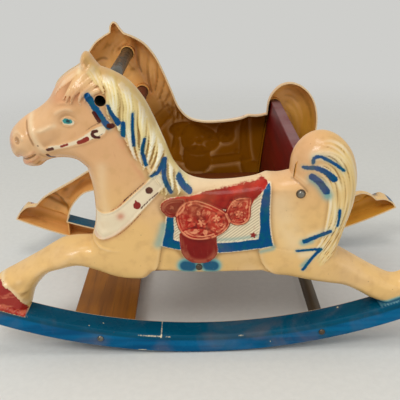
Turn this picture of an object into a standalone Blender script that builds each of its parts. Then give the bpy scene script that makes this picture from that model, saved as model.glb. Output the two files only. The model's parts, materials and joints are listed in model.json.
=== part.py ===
"""Two-sided rocking horse for a small child: two moulded side trays, joined by boards, a tube and dowels.

Frame: metres, +Z up, +X towards the horse's tail, the horse looks towards -X, its left side is at -Y.
The origin is on the floor, under the middle of the horse's length and width.
Each side is one thin plastic moulding: the horse, its hooves and the rocker rail, open towards the middle.
"""
import math

import bmesh
import bpy
from mathutils import Matrix, Vector
from mathutils.geometry import delaunay_2d_cdt

# ---------------------------------------------------------------- driving dimensions
# overall
LENGTH = 0.800          # toe to toe
HEIGHT = 0.486          # floor to ear tip
WIDTH = 0.370           # skin to skin, across both sides

# the outline's points and the cross pieces' places are given for this length and height
DRAWN_LENGTH = 0.800
DRAWN_HEIGHT = 0.486
ALONG = LENGTH / DRAWN_LENGTH
UP = HEIGHT / DRAWN_HEIGHT

# moulded side trays
TRAY_DEPTH = 0.038      # from the open rim to the outer skin
WALL = 0.0026           # plastic thickness
EDGE_RADIUS = 0.006     # rounding between the skin and the side walls
LIP_WALL = 0.0022       # walls of the sockets moulded inside the trays
LIP_DEPTH = 0.012       # how far the boards' lips and ledges stand in from the skin

# rocker runner, an arc of a circle under each tray
RUNNER_RADIUS = 0.900
RUNNER_LOWEST_X = -0.007 * ALONG    # under the centre of mass, so the empty horse rests level
RAIL_HEIGHT = 0.034
RAIL_FRONT_X = -0.292 * ALONG       # where the rail's top meets the front leg
RAIL_REAR_X = 0.272 * ALONG         # where it meets the hind leg
RIB_BEHIND_RIM = 0.003              # the rib across the rail stops this far short of the rim

# boards
SEAT_FRONT_X = -0.108 * ALONG
SEAT_BEHIND_BACK = 0.006    # how far the seat runs on behind the back board
SEAT_THICKNESS = 0.016
BELLY_Z = 0.150 * UP        # the belly's straight lower edge
SEAT_ABOVE_BELLY = 0.0060   # seat's underside over the belly's lower edge
BACK_FRONT_X = 0.113 * ALONG    # front face of the back board, where it stands on the seat
BACK_THICKNESS = 0.020
BACK_HEIGHT = 0.155 * UP
BACK_LEAN = math.radians(6.4)
FOOT_X = -0.182 * ALONG
FOOT_WIDTH = 0.102
FOOT_THICKNESS = RAIL_HEIGHT - 0.016    # it goes in between the rail's top and bottom
BOARD_EDGE = 0.0015         # softened arris

# cross tubes and dowels
TUBE_X = -0.144 * ALONG
TUBE_Z = 0.425 * UP
TUBE_DIAMETER = 0.0222
TUBE_WALL = 0.0016
NECK_X = -0.120 * ALONG
NECK_Z = 0.351 * UP
NECK_DIAMETER = 0.0222
REAR_X = 0.184 * ALONG
REAR_DIAMETER = RAIL_HEIGHT - 0.012     # it goes in between the rail's top and bottom
SOCKET_DEPTH = 0.016        # how far the round sockets stand in from the skin
PEEP_DIAMETER = 0.0155      # hole in the skin at each end of the head tube

# screws
SEAT_SCREW_X = -0.016 * ALONG
BACK_SCREW_UP = 0.110 * UP  # along the back board, from its foot
BACK_SCREW_IN = 0.0085      # from the back board's front face
SCREW_SHANK = 0.0046
SCREW_LENGTH = 0.034
SCREW_HEAD = 0.0105
SCREW_HEAD_RISE = 0.0032
WASHER_DIAMETER = 0.0138
WASHER_RISE = 0.0018
BACKREST_SCREWS = 3
BACKREST_SCREW_SPACING = 0.120

# fits
TOUCH = 0.0003          # gap between faces that touch
RUN = 0.0004            # radial clearance of what turns
LIP_CLEARANCE = 0.0006  # between a board's end and the lip moulded around it
HOLE_CLEARANCE = 0.0003  # radial, around a screw's shank

# fineness
OUTLINE_STEP = 0.018
RUNNER_STEP = 0.026
ROUND_SIDES = 32
SCREW_SIDES = 12
SMOOTH_ANGLE = math.radians(35)
ROUND_STEPS_OUTSIDE = (0.3, 1.0)    # rings across the edge rounding, as shares of its radius
ROUND_STEPS_INSIDE = (1.0,)

# worked out
HALF_WIDTH = WIDTH / 2
RIM_Y = HALF_WIDTH - TRAY_DEPTH
SKIN_INSIDE_Y = HALF_WIDTH - WALL
BOARD_END_Y = SKIN_INSIDE_Y - TOUCH

SIDES = {"left": -1, "right": 1}


# ---------------------------------------------------------------- the outline
def runner_z(x, radius=RUNNER_RADIUS):
    """Height of the arc of this radius about the runner's centre."""
    across = x - RUNNER_LOWEST_X
    return RUNNER_RADIUS - math.sqrt(radius ** 2 - across ** 2)


def body(x, z):
    """A point of the horse's body."""
    return Vector((x * ALONG, z * UP))


def leg(x, rise):
    """A point of a leg or hoof, given by its rise over the runner's underside."""
    return Vector((x * ALONG, runner_z(x * ALONG) + rise * UP))


def smooth_run(points, step):
    """Points along a centripetal Catmull-Rom curve through these, without its last point."""
    ends = [points[0] * 2 - points[1]] + points + [points[-1] * 2 - points[-2]]
    result = []
    for before, start, stop, after in zip(ends, ends[1:], ends[2:], ends[3:]):
        t0 = 0.0
        t1 = t0 + math.sqrt((start - before).length)
        t2 = t1 + math.sqrt((stop - start).length)
        t3 = t2 + math.sqrt((after - stop).length)
        pieces = max(1, math.ceil((stop - start).length / step))
        for i in range(pieces):
            t = t1 + (t2 - t1) * i / pieces
            a1 = before.lerp(start, (t - t0) / (t1 - t0))
            a2 = start.lerp(stop, (t - t1) / (t2 - t1))
            a3 = stop.lerp(after, (t - t2) / (t3 - t2))
            b1 = a1.lerp(a2, (t - t0) / (t2 - t0))
            b2 = a2.lerp(a3, (t - t1) / (t3 - t1))
            result.append(b1.lerp(b2, (t - t1) / (t2 - t1)))
    return result


def arc_run(x_from, x_to, radius, step):
    """Points along the runner's arc of this radius, without the last one.

    The facets touch the arc at their middles, and the lowest one lies level.
    """
    half_turn = step / 2 / radius
    first = math.floor((min(x_from, x_to) - RUNNER_LOWEST_X) / step)
    last = math.ceil((max(x_from, x_to) - RUNNER_LOWEST_X) / step)
    points = [Vector((x_from, runner_z(x_from, radius)))]
    turns = [(2 * i + 1) * half_turn for i in range(first, last)]
    for turn in turns if x_to > x_from else reversed(turns):
        corner = radius / math.cos(half_turn)
        x = RUNNER_LOWEST_X + corner * math.sin(turn)
        if min(x_from, x_to) + step / 4 < x < max(x_from, x_to) - step / 4:
            points.append(Vector((x, RUNNER_RADIUS - corner * math.cos(turn))))
    return points


def outer_loop():
    """The horse's silhouette with its runner, counter-clockwise as seen from the horse's left."""
    front_toe = leg(-0.400, 0.0)
    rear_toe = leg(0.400, 0.0)
    hock = body(0.200, 0.178)
    hump_foot = body(0.121, 0.307)
    cantle = body(0.086, 0.305)
    ear_back = body(-0.145, 0.466)
    ear_front = body(-0.172, 0.468)
    mouth = body(-0.271, 0.333)
    throat = body(-0.177, 0.322)
    breast = body(-0.181, 0.206)
    fetlock = leg(-0.356, 0.050)
    smooth_runs = [
        [rear_toe, leg(0.392, 0.016), leg(0.375, 0.033), leg(0.357, 0.041)],
        [leg(0.357, 0.041), leg(0.344, 0.057), leg(0.325, 0.070), leg(0.295, 0.072),
         leg(0.262, 0.098), leg(0.228, 0.129), hock],
        [hock, body(0.206, 0.205), body(0.214, 0.235), body(0.220, 0.262), body(0.222, 0.290),
         body(0.218, 0.317), body(0.211, 0.335), body(0.200, 0.350), body(0.184, 0.362),
         body(0.166, 0.367), body(0.148, 0.363), body(0.133, 0.350), body(0.124, 0.332), hump_foot],
        [hump_foot, body(0.104, 0.304), cantle],
        [cantle, body(0.070, 0.299), body(0.030, 0.294), body(-0.006, 0.295), body(-0.030, 0.303),
         body(-0.048, 0.323), body(-0.061, 0.356), body(-0.075, 0.392), body(-0.089, 0.422),
         body(-0.108, 0.446), body(-0.128, 0.459), ear_back],
        [ear_back, body(-0.153, 0.476), body(-0.158, 0.4855), body(-0.164, 0.486),
         body(-0.170, 0.479), ear_front],
        [ear_front, body(-0.186, 0.460), body(-0.199, 0.451), body(-0.210, 0.438),
         body(-0.221, 0.422), body(-0.236, 0.410), body(-0.254, 0.400), body(-0.271, 0.388),
         body(-0.281, 0.374), body(-0.285, 0.358), body(-0.281, 0.342), mouth],
        [mouth, body(-0.269, 0.325), body(-0.256, 0.321), body(-0.243, 0.325), body(-0.232, 0.333),
         body(-0.212, 0.336), body(-0.190, 0.333), throat],
        [throat, body(-0.172, 0.295), body(-0.170, 0.262), body(-0.173, 0.230), breast],
        [breast, body(-0.204, 0.2055), body(-0.226, 0.202), leg(-0.240, 0.164), leg(-0.268, 0.139),
         leg(-0.303, 0.108), leg(-0.335, 0.078), fetlock],
        [fetlock, leg(-0.374, 0.040), leg(-0.389, 0.022), front_toe],
    ]
    points = arc_run(front_toe.x, rear_toe.x, RUNNER_RADIUS, RUNNER_STEP)
    for run in smooth_runs:
        points += smooth_run(run, OUTLINE_STEP)
    return points


def gap_loop():
    """The opening between the belly, the legs and the rail, clockwise as seen from the horse's left."""
    rail_top = RUNNER_RADIUS - RAIL_HEIGHT
    front = Vector((RAIL_FRONT_X, runner_z(RAIL_FRONT_X, rail_top)))
    rear = Vector((RAIL_REAR_X, runner_z(RAIL_REAR_X, rail_top)))
    elbow = Vector((-0.086 * ALONG, BELLY_Z))
    flank = Vector((0.080 * ALONG, BELLY_Z))
    under = [front, leg(-0.281, 0.070), leg(-0.268, 0.092), leg(-0.251, 0.112),
             body(-0.230, 0.152), body(-0.205, 0.157), body(-0.178, 0.151), body(-0.147, 0.142),
             body(-0.118, 0.138), body(-0.100, 0.139), elbow]
    behind = [flank, body(0.098, 0.142), body(0.140, 0.130), leg(0.185, 0.098),
              leg(0.212, 0.085), leg(0.234, 0.068), leg(0.254, 0.050), rear]
    points = smooth_run(under, OUTLINE_STEP)
    points += smooth_run([elbow, flank], OUTLINE_STEP * 2)
    points += smooth_run(behind, OUTLINE_STEP)
    points += arc_run(rear.x, front.x, rail_top, RUNNER_STEP)
    return points


# ---------------------------------------------------------------- plane geometry
def distance_to_loops(point, loops):
    """Distance from a point to the nearest edge of the loops."""
    best = math.inf
    for loop in loops:
        for a, b in zip(loop, loop[1:] + loop[:1]):
            edge = b - a
            along = min(1.0, max(0.0, (point - a).dot(edge) / edge.length_squared))
            best = min(best, (a + edge * along - point).length)
    return best


def is_inside(point, loops):
    """Even-odd test of a point against the loops."""
    inside = False
    for loop in loops:
        for a, b in zip(loop, loop[1:] + loop[:1]):
            if (a.y > point.y) != (b.y > point.y):
                if point.x < a.x + (point.y - a.y) / (b.y - a.y) * (b.x - a.x):
                    inside = not inside
    return inside


def inset_loop(loop, loops, amount):
    """The loop moved into the material by this amount, without points that would crowd its neighbours."""
    result = []
    count = len(loop)
    for i, point in enumerate(loop):
        ahead = (loop[(i + 1) % count] - point).normalized()
        behind = (point - loop[i - 1]).normalized()
        tangent = (ahead + behind).normalized()
        inward = Vector((-tangent.y, tangent.x))
        reach = amount / max(0.5, inward.dot(Vector((-ahead.y, ahead.x))))
        moved = point + inward * reach
        if distance_to_loops(moved, loops) > amount * 0.97:
            result.append(moved)
    return result


def triangulate(points, rings, keep):
    """Triangles over the points, kept where the test on their middle says so."""
    edges = []
    for ring in rings:
        edges += list(zip(ring, ring[1:] + ring[:1]))
    coords, _, faces, origin, _, _ = delaunay_2d_cdt(points, edges, [], 0, 1e-7)
    source = [group[0] for group in origin]
    triangles = []
    for face in faces:
        middle = sum((coords[i] for i in face), Vector((0.0, 0.0))) / 3
        if keep(middle):
            triangles.append([source[i] for i in face])
    return triangles


# ---------------------------------------------------------------- mesh helpers
def mesh_from(name, bm):
    """A mesh from a bmesh, with its faces pointing out and its round parts shaded smooth."""
    bmesh.ops.recalc_face_normals(bm, faces=bm.faces)
    mesh = bpy.data.meshes.new(name)
    bm.to_mesh(mesh)
    bm.free()
    mesh.shade_smooth()
    mesh.set_sharp_from_angle(angle=SMOOTH_ANGLE)
    return mesh


def turned(profile, sides, closed=False):
    """A body turned about the Y axis from (along, radius) points; a closed profile makes a ring."""
    bm = bmesh.new()
    angles = [math.tau * i / sides for i in range(sides)]
    rings = []
    for along, radius in profile:
        if radius == 0.0:
            rings.append([bm.verts.new((0.0, along, 0.0))])
        else:
            around = [(radius * math.cos(a), along, radius * math.sin(a)) for a in angles]
            rings.append([bm.verts.new(point) for point in around])
    following = rings[1:] + rings[:1] if closed else rings[1:]
    for one, two in zip(rings, following):
        for i in range(sides):
            j = (i + 1) % sides
            corners = [one[i % len(one)], one[j % len(one)], two[j % len(two)], two[i % len(two)]]
            bm.faces.new(list(dict.fromkeys(corners)))
    for end in (rings[0], rings[-1]):
        if len(end) > 1 and not closed:
            bm.faces.new(end)
    return bm


def box(low, high):
    """A box between two corners."""
    bm = bmesh.new()
    size = Vector(high) - Vector(low)
    middle = Matrix.Translation((Vector(high) + Vector(low)) / 2)
    bmesh.ops.create_cube(bm, size=1.0, matrix=middle @ Matrix.Diagonal((*size, 1.0)))
    return bm


def prism(outline, y_from, y_to):
    """A body with this (x, z) outline, between two planes across Y."""
    bm = bmesh.new()
    near = [bm.verts.new((x, y_from, z)) for x, z in outline]
    far = [bm.verts.new((x, y_to, z)) for x, z in outline]
    bm.faces.new(near)
    bm.faces.new(far)
    for i in range(len(outline)):
        j = (i + 1) % len(outline)
        bm.faces.new([near[i], near[j], far[j], far[i]])
    return bm


def make_material(name, colour, roughness, metallic=0.0):
    """A Principled material."""
    made = bpy.data.materials.new(name)
    made.use_nodes = True
    made.diffuse_color = (*colour, 1.0)
    shader = made.node_tree.nodes["Principled BSDF"]
    shader.inputs["Base Color"].default_value = (*colour, 1.0)
    shader.inputs["Roughness"].default_value = roughness
    shader.inputs["Metallic"].default_value = metallic
    return made


def piece(name, bm, finish, place=None):
    """A named piece of the horse."""
    thing = bpy.data.objects.new(name, mesh_from(name, bm))
    thing.data.materials.append(finish)
    bpy.context.scene.collection.objects.link(thing)
    thing.matrix_world = place or Matrix()
    return thing


def helper(name, bm, place=None):
    """A cutter or an added form for a Boolean, which is not a piece itself."""
    thing = bpy.data.objects.new(name, mesh_from(name, bm))
    bpy.context.scene.collection.objects.link(thing)
    thing.matrix_world = place or Matrix()
    thing.hide_render = True
    thing.display_type = "WIRE"
    return thing


def boolean(thing, operation, other):
    """An exact Boolean with another object."""
    modifier = thing.modifiers.new(other.name, "BOOLEAN")
    modifier.operation = operation
    modifier.object = other
    modifier.solver = "EXACT"


def soften(thing):
    """Breaks the sharp edges of a board."""
    modifier = thing.modifiers.new("arris", "BEVEL")
    modifier.width = BOARD_EDGE
    modifier.segments = 2
    modifier.limit_method = "ANGLE"


def drill(thing, diameter, start, direction, depth):
    """A round hole of this depth, from a point on the face in a direction."""
    profile = [(-SCREW_HEAD_RISE, diameter / 2), (depth, diameter / 2)]
    turn = Vector((0.0, 1.0, 0.0)).rotation_difference(Vector(direction)).to_matrix().to_4x4()
    name = f"{thing.name}_hole_{len(thing.modifiers)}"
    place = Matrix.Translation(start) @ turn
    boolean(thing, "DIFFERENCE", helper(name, turned(profile, SCREW_SIDES), place))


# ---------------------------------------------------------------- places worked out from the sizes
def seat_span():
    """Front x, rear x, underside z and top z of the seat board."""
    underside = BELLY_Z + SEAT_ABOVE_BELLY
    rear = BACK_FRONT_X + BACK_THICKNESS + SEAT_BEHIND_BACK
    return SEAT_FRONT_X, rear, underside, underside + SEAT_THICKNESS


def back_place():
    """Places the back board: its Z runs up the board and its X points to its rear face."""
    lift = BACK_THICKNESS * math.sin(BACK_LEAN) + TOUCH
    foot = Matrix.Translation((BACK_FRONT_X, 0.0, seat_span()[3] + lift))
    return foot @ Matrix.Rotation(BACK_LEAN, 4, "Y")


def rail_place(x):
    """A place in the middle of the rail: its own X follows the runner and its own Z stands off it."""
    angle = math.asin((x - RUNNER_LOWEST_X) / RUNNER_RADIUS)
    middle = RUNNER_RADIUS - RAIL_HEIGHT / 2
    centre = (RUNNER_LOWEST_X + middle * math.sin(angle), 0.0, RUNNER_RADIUS - middle * math.cos(angle))
    return Matrix.Translation(centre) @ Matrix.Rotation(-angle, 4, "Y")


def end_screws():
    """Each end screw's name and the point, on the middle plane, that its axis passes through."""
    _, _, underside, top = seat_span()
    return {
        "seat_screw": Vector((SEAT_SCREW_X, 0.0, (underside + top) / 2)),
        "back_screw": back_place() @ Vector((BACK_SCREW_IN, 0.0, BACK_SCREW_UP)),
        "foot_screw": rail_place(FOOT_X).translation,
        "rear_screw": rail_place(REAR_X).translation,
    }


# ---------------------------------------------------------------- the side trays
def skin_depth(distance, deepest, radius):
    """Depth of the tray behind its rim, at this distance from the outline."""
    toward = 1.0 - min(1.0, distance / radius)
    return deepest - radius + radius * math.sqrt(1.0 - toward ** 2)


def tray_surface(bm, loops, deepest, radius, round_steps, side):
    """Skin and side walls over the loops; returns the rim's vertices in the order of the loops."""
    points, rings = [], []

    def add_ring(ring):
        rings.append(list(range(len(points), len(points) + len(ring))))
        points.extend(ring)

    for loop in loops:
        add_ring(loop)
    for share in round_steps:
        for loop in loops:
            add_ring(inset_loop(loop, loops, radius * share))
    verts = []
    for point in points:
        depth = skin_depth(distance_to_loops(point, loops), deepest, radius)
        verts.append(bm.verts.new((point.x, side * (RIM_Y + depth), point.y)))
    for triangle in triangulate(points, rings, lambda middle: is_inside(middle, loops)):
        bm.faces.new([verts[i] for i in triangle])

    rim = []
    for ring in rings[:len(loops)]:
        edge = [bm.verts.new((points[i].x, side * RIM_Y, points[i].y)) for i in ring]
        for i in range(len(ring)):
            j = (i + 1) % len(ring)
            bm.faces.new([verts[ring[j]], verts[ring[i]], edge[i], edge[j]])
        rim += edge
    return rim


def tray_body(side):
    """One side tray: an outer skin and an inner skin, joined by the rim's flat edge."""
    outer = [outer_loop(), gap_loop()]
    inner = [inset_loop(loop, outer, WALL) for loop in outer]
    bm = bmesh.new()
    rim = tray_surface(bm, outer, TRAY_DEPTH, EDGE_RADIUS, ROUND_STEPS_OUTSIDE, side)
    rim += tray_surface(bm, inner, TRAY_DEPTH - WALL, EDGE_RADIUS - WALL, ROUND_STEPS_INSIDE, side)

    points, rings = [], []
    for loop in outer + inner:
        rings.append(list(range(len(points), len(points) + len(loop))))
        points += loop

    def is_rim(middle):
        return is_inside(middle, outer) and not is_inside(middle, inner)

    for triangle in triangulate(points, rings, is_rim):
        bm.faces.new([rim[i] for i in triangle])
    return bm


def inner_span(depth):
    """Y of the middle of the skin and of a form that stands this far in from the skin, at +Y."""
    return SKIN_INSIDE_Y + WALL / 2, SKIN_INSIDE_Y - depth


def round_socket(name, side, x, z, diameter):
    """A ring moulded on the inner skin around the end of a tube or dowel."""
    inside = diameter / 2 + RUN
    start, stop = inner_span(SOCKET_DEPTH)
    profile = [(start, inside), (start, inside + LIP_WALL), (stop, inside + LIP_WALL), (stop, inside)]
    bm = turned([(side * along, radius) for along, radius in profile], ROUND_SIDES, closed=True)
    return helper(name, bm, Matrix.Translation((x, 0.0, z)))


def back_lip(name, side):
    """An arch moulded on the inner skin around the end of the back board, open at its foot."""
    low = LIP_WALL
    inside = (-LIP_CLEARANCE, BACK_THICKNESS + LIP_CLEARANCE, BACK_HEIGHT + LIP_CLEARANCE)
    outside = (inside[0] - LIP_WALL, inside[1] + LIP_WALL, inside[2] + LIP_WALL)
    outline = [(outside[0], low), (outside[0], outside[2]), (outside[1], outside[2]), (outside[1], low),
               (inside[1], low), (inside[1], inside[2]), (inside[0], inside[2]), (inside[0], low)]
    start, stop = inner_span(LIP_DEPTH)
    return helper(name, prism(outline, side * start, side * stop), back_place())


def seat_ledge(name, side):
    """A ledge moulded on the inner skin, under the end of the seat board."""
    front, rear, underside, _ = seat_span()
    bottom = BELLY_Z + WALL / 2
    start, stop = inner_span(LIP_DEPTH)
    outline = [(front, bottom), (rear, bottom), (rear, underside - TOUCH), (front, underside - TOUCH)]
    return helper(name, prism(outline, side * start, side * stop))


def rail_rib(name, side):
    """A rib moulded across the rail's channel, under the front leg."""
    bottom = runner_z(RAIL_FRONT_X, RUNNER_RADIUS) + WALL / 2
    top = runner_z(RAIL_FRONT_X, RUNNER_RADIUS - RAIL_HEIGHT) + WALL
    start, stop = inner_span(TRAY_DEPTH - WALL - RIB_BEHIND_RIM)
    low = (RAIL_FRONT_X - LIP_WALL / 2, min(side * start, side * stop), bottom)
    high = (RAIL_FRONT_X + LIP_WALL / 2, max(side * start, side * stop), top)
    return helper(name, box(low, high))


def side_shell(word, side, finish):
    """A side tray with its sockets, lip, ledge, rib and holes."""
    shell = piece(f"{word}_side_shell", tray_body(side), finish)
    added = [
        round_socket(f"{word}_head_socket", side, TUBE_X, TUBE_Z, TUBE_DIAMETER),
        round_socket(f"{word}_neck_socket", side, NECK_X, NECK_Z, NECK_DIAMETER),
        back_lip(f"{word}_back_lip", side),
        seat_ledge(f"{word}_seat_ledge", side),
        rail_rib(f"{word}_rail_rib", side),
    ]
    for form in added:
        boolean(shell, "UNION", form)
    inward = (0.0, -side, 0.0)
    through = TRAY_DEPTH / 2
    drill(shell, PEEP_DIAMETER, (TUBE_X, side * HALF_WIDTH, TUBE_Z), inward, through)
    for place in end_screws().values():
        start = (place.x, side * HALF_WIDTH, place.z)
        drill(shell, SCREW_SHANK + 2 * HOLE_CLEARANCE, start, inward, through)
    return shell


# ---------------------------------------------------------------- boards, tube and dowels
def drill_ends(thing, screw):
    """Pilot holes in both ends of a cross piece, for one pair of end screws."""
    place = end_screws()[screw]
    depth = SCREW_LENGTH + HOLE_CLEARANCE - WALL
    for side in SIDES.values():
        start = (place.x, side * BOARD_END_Y, place.z)
        drill(thing, SCREW_SHANK + 2 * HOLE_CLEARANCE, start, (0.0, -side, 0.0), depth)


def seat_board(finish):
    """The seat, between the bellies."""
    front, rear, underside, top = seat_span()
    board = piece("seat_board", box((front, -BOARD_END_Y, underside), (rear, BOARD_END_Y, top)), finish)
    soften(board)
    drill_ends(board, "seat_screw")
    for place in backrest_screw_places():
        drill(board, SCREW_SHANK + 2 * HOLE_CLEARANCE, place, (0.0, 0.0, 1.0), SEAT_THICKNESS * 2)
    return board


def back_board(finish):
    """The leaning back rest, which stands on the seat."""
    bm = box((0.0, -BOARD_END_Y, 0.0), (BACK_THICKNESS, BOARD_END_Y, BACK_HEIGHT))
    board = piece("back_board", bm, finish, back_place())
    soften(board)
    drill_ends(board, "back_screw")
    depth = SCREW_LENGTH + HOLE_CLEARANCE
    for place in backrest_screw_places():
        drill(board, SCREW_SHANK + 2 * HOLE_CLEARANCE, place, (0.0, 0.0, 1.0), depth)
    return board


def foot_board(finish):
    """The foot rest, between the rails."""
    half = Vector((FOOT_WIDTH / 2, BOARD_END_Y, FOOT_THICKNESS / 2))
    board = piece("foot_board", box(-half, half), finish, rail_place(FOOT_X))
    soften(board)
    drill_ends(board, "foot_screw")
    return board


def head_tube(finish):
    """The steel hand tube, which turns in its sockets."""
    outside = TUBE_DIAMETER / 2
    inside = outside - TUBE_WALL
    profile = [(BOARD_END_Y, inside), (BOARD_END_Y, outside),
               (-BOARD_END_Y, outside), (-BOARD_END_Y, inside)]
    return piece("head_tube", turned(profile, ROUND_SIDES, closed=True), finish,
                 Matrix.Translation((TUBE_X, 0.0, TUBE_Z)))


def dowel(name, diameter, place, finish):
    """A solid wooden dowel from skin to skin, with chamfered ends."""
    radius = diameter / 2
    profile = [(BOARD_END_Y, radius - BOARD_EDGE), (BOARD_END_Y - BOARD_EDGE, radius),
               (BOARD_EDGE - BOARD_END_Y, radius), (-BOARD_END_Y, radius - BOARD_EDGE)]
    return piece(name, turned(profile, ROUND_SIDES), finish, Matrix.Translation(place))


# ---------------------------------------------------------------- screws and washers
def screw_body():
    """A round-head wood screw: the underside of its head is at 0 and it points along -Y."""
    head = SCREW_HEAD / 2
    shank = SCREW_SHANK / 2
    rise = SCREW_HEAD_RISE
    profile = [(rise, 0.0), (rise * 0.85, head * 0.5), (rise * 0.45, head * 0.87), (0.0, head),
               (0.0, shank), (SCREW_HEAD - SCREW_LENGTH, shank), (-SCREW_LENGTH, 0.0)]
    return turned(profile, SCREW_SIDES)


def washer_body():
    """A cup washer that swells under the screw's head."""
    outside = WASHER_DIAMETER / 2
    inside = SCREW_SHANK / 2 + HOLE_CLEARANCE
    profile = [(0.0, inside), (0.0, outside), (WASHER_RISE * 0.6, outside * 0.93),
               (WASHER_RISE, outside * 0.78), (WASHER_RISE, inside)]
    return turned(profile, SCREW_SIDES * 2, closed=True)


def end_hardware(word, side, screw_finishes, washer_finish):
    """The screws in one side's skin, and the cup washer under the back screw."""
    face = Matrix.Rotation(0.0 if side > 0 else math.pi, 4, "Z")
    for name, place in end_screws().items():
        stand_off = HALF_WIDTH + TOUCH
        if name == "back_screw":
            seat = Matrix.Translation((place.x, side * stand_off, place.z)) @ face
            piece(f"cup_washer_{word}", washer_body(), washer_finish, seat)
            stand_off += WASHER_RISE + TOUCH
        seat = Matrix.Translation((place.x, side * stand_off, place.z)) @ face
        piece(f"{name}_{word}", screw_body(), screw_finishes[name], seat)


def backrest_screw_places():
    """Where the screws that hold the back board enter the seat's underside."""
    _, _, underside, _ = seat_span()
    x = BACK_FRONT_X + BACK_THICKNESS / 2
    first = -BACKREST_SCREW_SPACING * (BACKREST_SCREWS - 1) / 2
    return [Vector((x, first + BACKREST_SCREW_SPACING * i, underside)) for i in range(BACKREST_SCREWS)]


def backrest_screws(finish):
    """Screws from under the seat up into the back board."""
    turn = Matrix.Rotation(-math.pi / 2, 4, "X")
    for number, place in enumerate(backrest_screw_places(), start=1):
        seat = Matrix.Translation(place - Vector((0.0, 0.0, TOUCH))) @ turn
        piece(f"backrest_screw_{number}", screw_body(), finish, seat)


# ---------------------------------------------------------------- the whole horse
def main():
    """Builds every piece."""
    for thing in list(bpy.data.objects):
        bpy.data.objects.remove(thing, do_unlink=True)

    plastic = make_material("moulded_tan_plastic", (0.72, 0.46, 0.21), 0.38)
    red_paint = make_material("dark_red_paint", (0.26, 0.012, 0.014), 0.50)
    brown_wood = make_material("varnished_brown_wood", (0.27, 0.12, 0.025), 0.45)
    red_wood = make_material("stained_red_wood", (0.20, 0.035, 0.022), 0.55)
    dark_wood = make_material("weathered_dark_wood", (0.10, 0.075, 0.045), 0.60)
    steel = make_material("grey_steel", (0.22, 0.21, 0.19), 0.40, 1.0)
    bright_steel = make_material("zinc_steel", (0.55, 0.54, 0.52), 0.30, 1.0)
    dark_steel = make_material("tarnished_steel", (0.12, 0.11, 0.10), 0.45, 1.0)

    screw_finishes = {
        "seat_screw": dark_steel,
        "back_screw": bright_steel,
        "foot_screw": bright_steel,
        "rear_screw": dark_steel,
    }
    for word, side in SIDES.items():
        side_shell(word, side, plastic)
        end_hardware(word, side, screw_finishes, dark_steel)
    seat_board(red_paint)
    back_board(red_paint)
    foot_board(brown_wood)
    head_tube(steel)
    dowel("neck_dowel", NECK_DIAMETER, (NECK_X, 0.0, NECK_Z), red_wood)
    rear = dowel("rear_cross_dowel", REAR_DIAMETER, rail_place(REAR_X).translation, dark_wood)
    drill_ends(rear, "rear_screw")
    backrest_screws(bright_steel)


main()
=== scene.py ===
"""The painted look of the two-sided rocking horse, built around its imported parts.

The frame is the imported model's own: metres, +Z up, the horse looks towards -X and its left side is at -Y.
The forms moulded and painted on the sides are laid out in millimetres of x and z, on the side's own plane.
"""
from __future__ import annotations

import json
import logging
import math
from dataclasses import dataclass, field
from enum import Enum
from typing import Iterable, Sequence

import bmesh
import bpy
import numpy as np
from mathutils import Matrix, Vector
from mathutils.bvhtree import BVHTree
from mathutils.geometry import delaunay_2d_cdt

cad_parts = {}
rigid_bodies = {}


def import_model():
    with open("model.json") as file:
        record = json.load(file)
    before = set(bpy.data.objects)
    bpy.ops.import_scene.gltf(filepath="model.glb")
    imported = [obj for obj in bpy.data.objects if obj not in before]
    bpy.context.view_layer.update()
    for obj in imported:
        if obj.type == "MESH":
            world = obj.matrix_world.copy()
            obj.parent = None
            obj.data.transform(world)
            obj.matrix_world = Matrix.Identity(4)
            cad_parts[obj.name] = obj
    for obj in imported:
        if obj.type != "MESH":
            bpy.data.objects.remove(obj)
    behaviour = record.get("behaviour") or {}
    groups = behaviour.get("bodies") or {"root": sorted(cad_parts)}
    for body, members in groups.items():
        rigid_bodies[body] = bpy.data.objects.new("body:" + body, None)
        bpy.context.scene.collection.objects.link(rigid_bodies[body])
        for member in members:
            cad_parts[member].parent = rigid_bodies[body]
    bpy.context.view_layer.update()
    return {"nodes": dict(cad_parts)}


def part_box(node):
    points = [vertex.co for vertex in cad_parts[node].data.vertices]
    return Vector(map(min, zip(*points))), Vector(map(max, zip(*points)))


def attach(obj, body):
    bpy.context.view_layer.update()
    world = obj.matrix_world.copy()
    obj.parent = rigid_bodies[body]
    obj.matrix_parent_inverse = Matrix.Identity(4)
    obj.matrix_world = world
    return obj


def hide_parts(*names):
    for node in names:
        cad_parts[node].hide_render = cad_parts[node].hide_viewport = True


LOG = logging.getLogger("rocking_horse")
MM = 0.001
RUNNER_RADIUS = 900.0   # radius of the rocker's underside, in millimetres
RUNNER_LOWEST = -7.0    # x of its lowest point
RAIL_HEIGHT = 34.0      # height of the rail over its underside
UNPAINTED = -9.0        # what a crisp channel holds far outside its patches
Point = tuple[float, float]
Place = tuple[float, float, float]
Colour = tuple[float, float, float]
Array = np.ndarray
Socket = bpy.types.NodeSocket
Material = bpy.types.Material
Thing = bpy.types.Object


# ---------------------------------------------------------------- plane geometry
def runner(x: float, rise: float = 0.0) -> Point:
    """The point at x and the given rise over the rocker's underside, in millimetres."""
    return x, RUNNER_RADIUS - math.sqrt(RUNNER_RADIUS ** 2 - (x - RUNNER_LOWEST) ** 2) + rise


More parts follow.
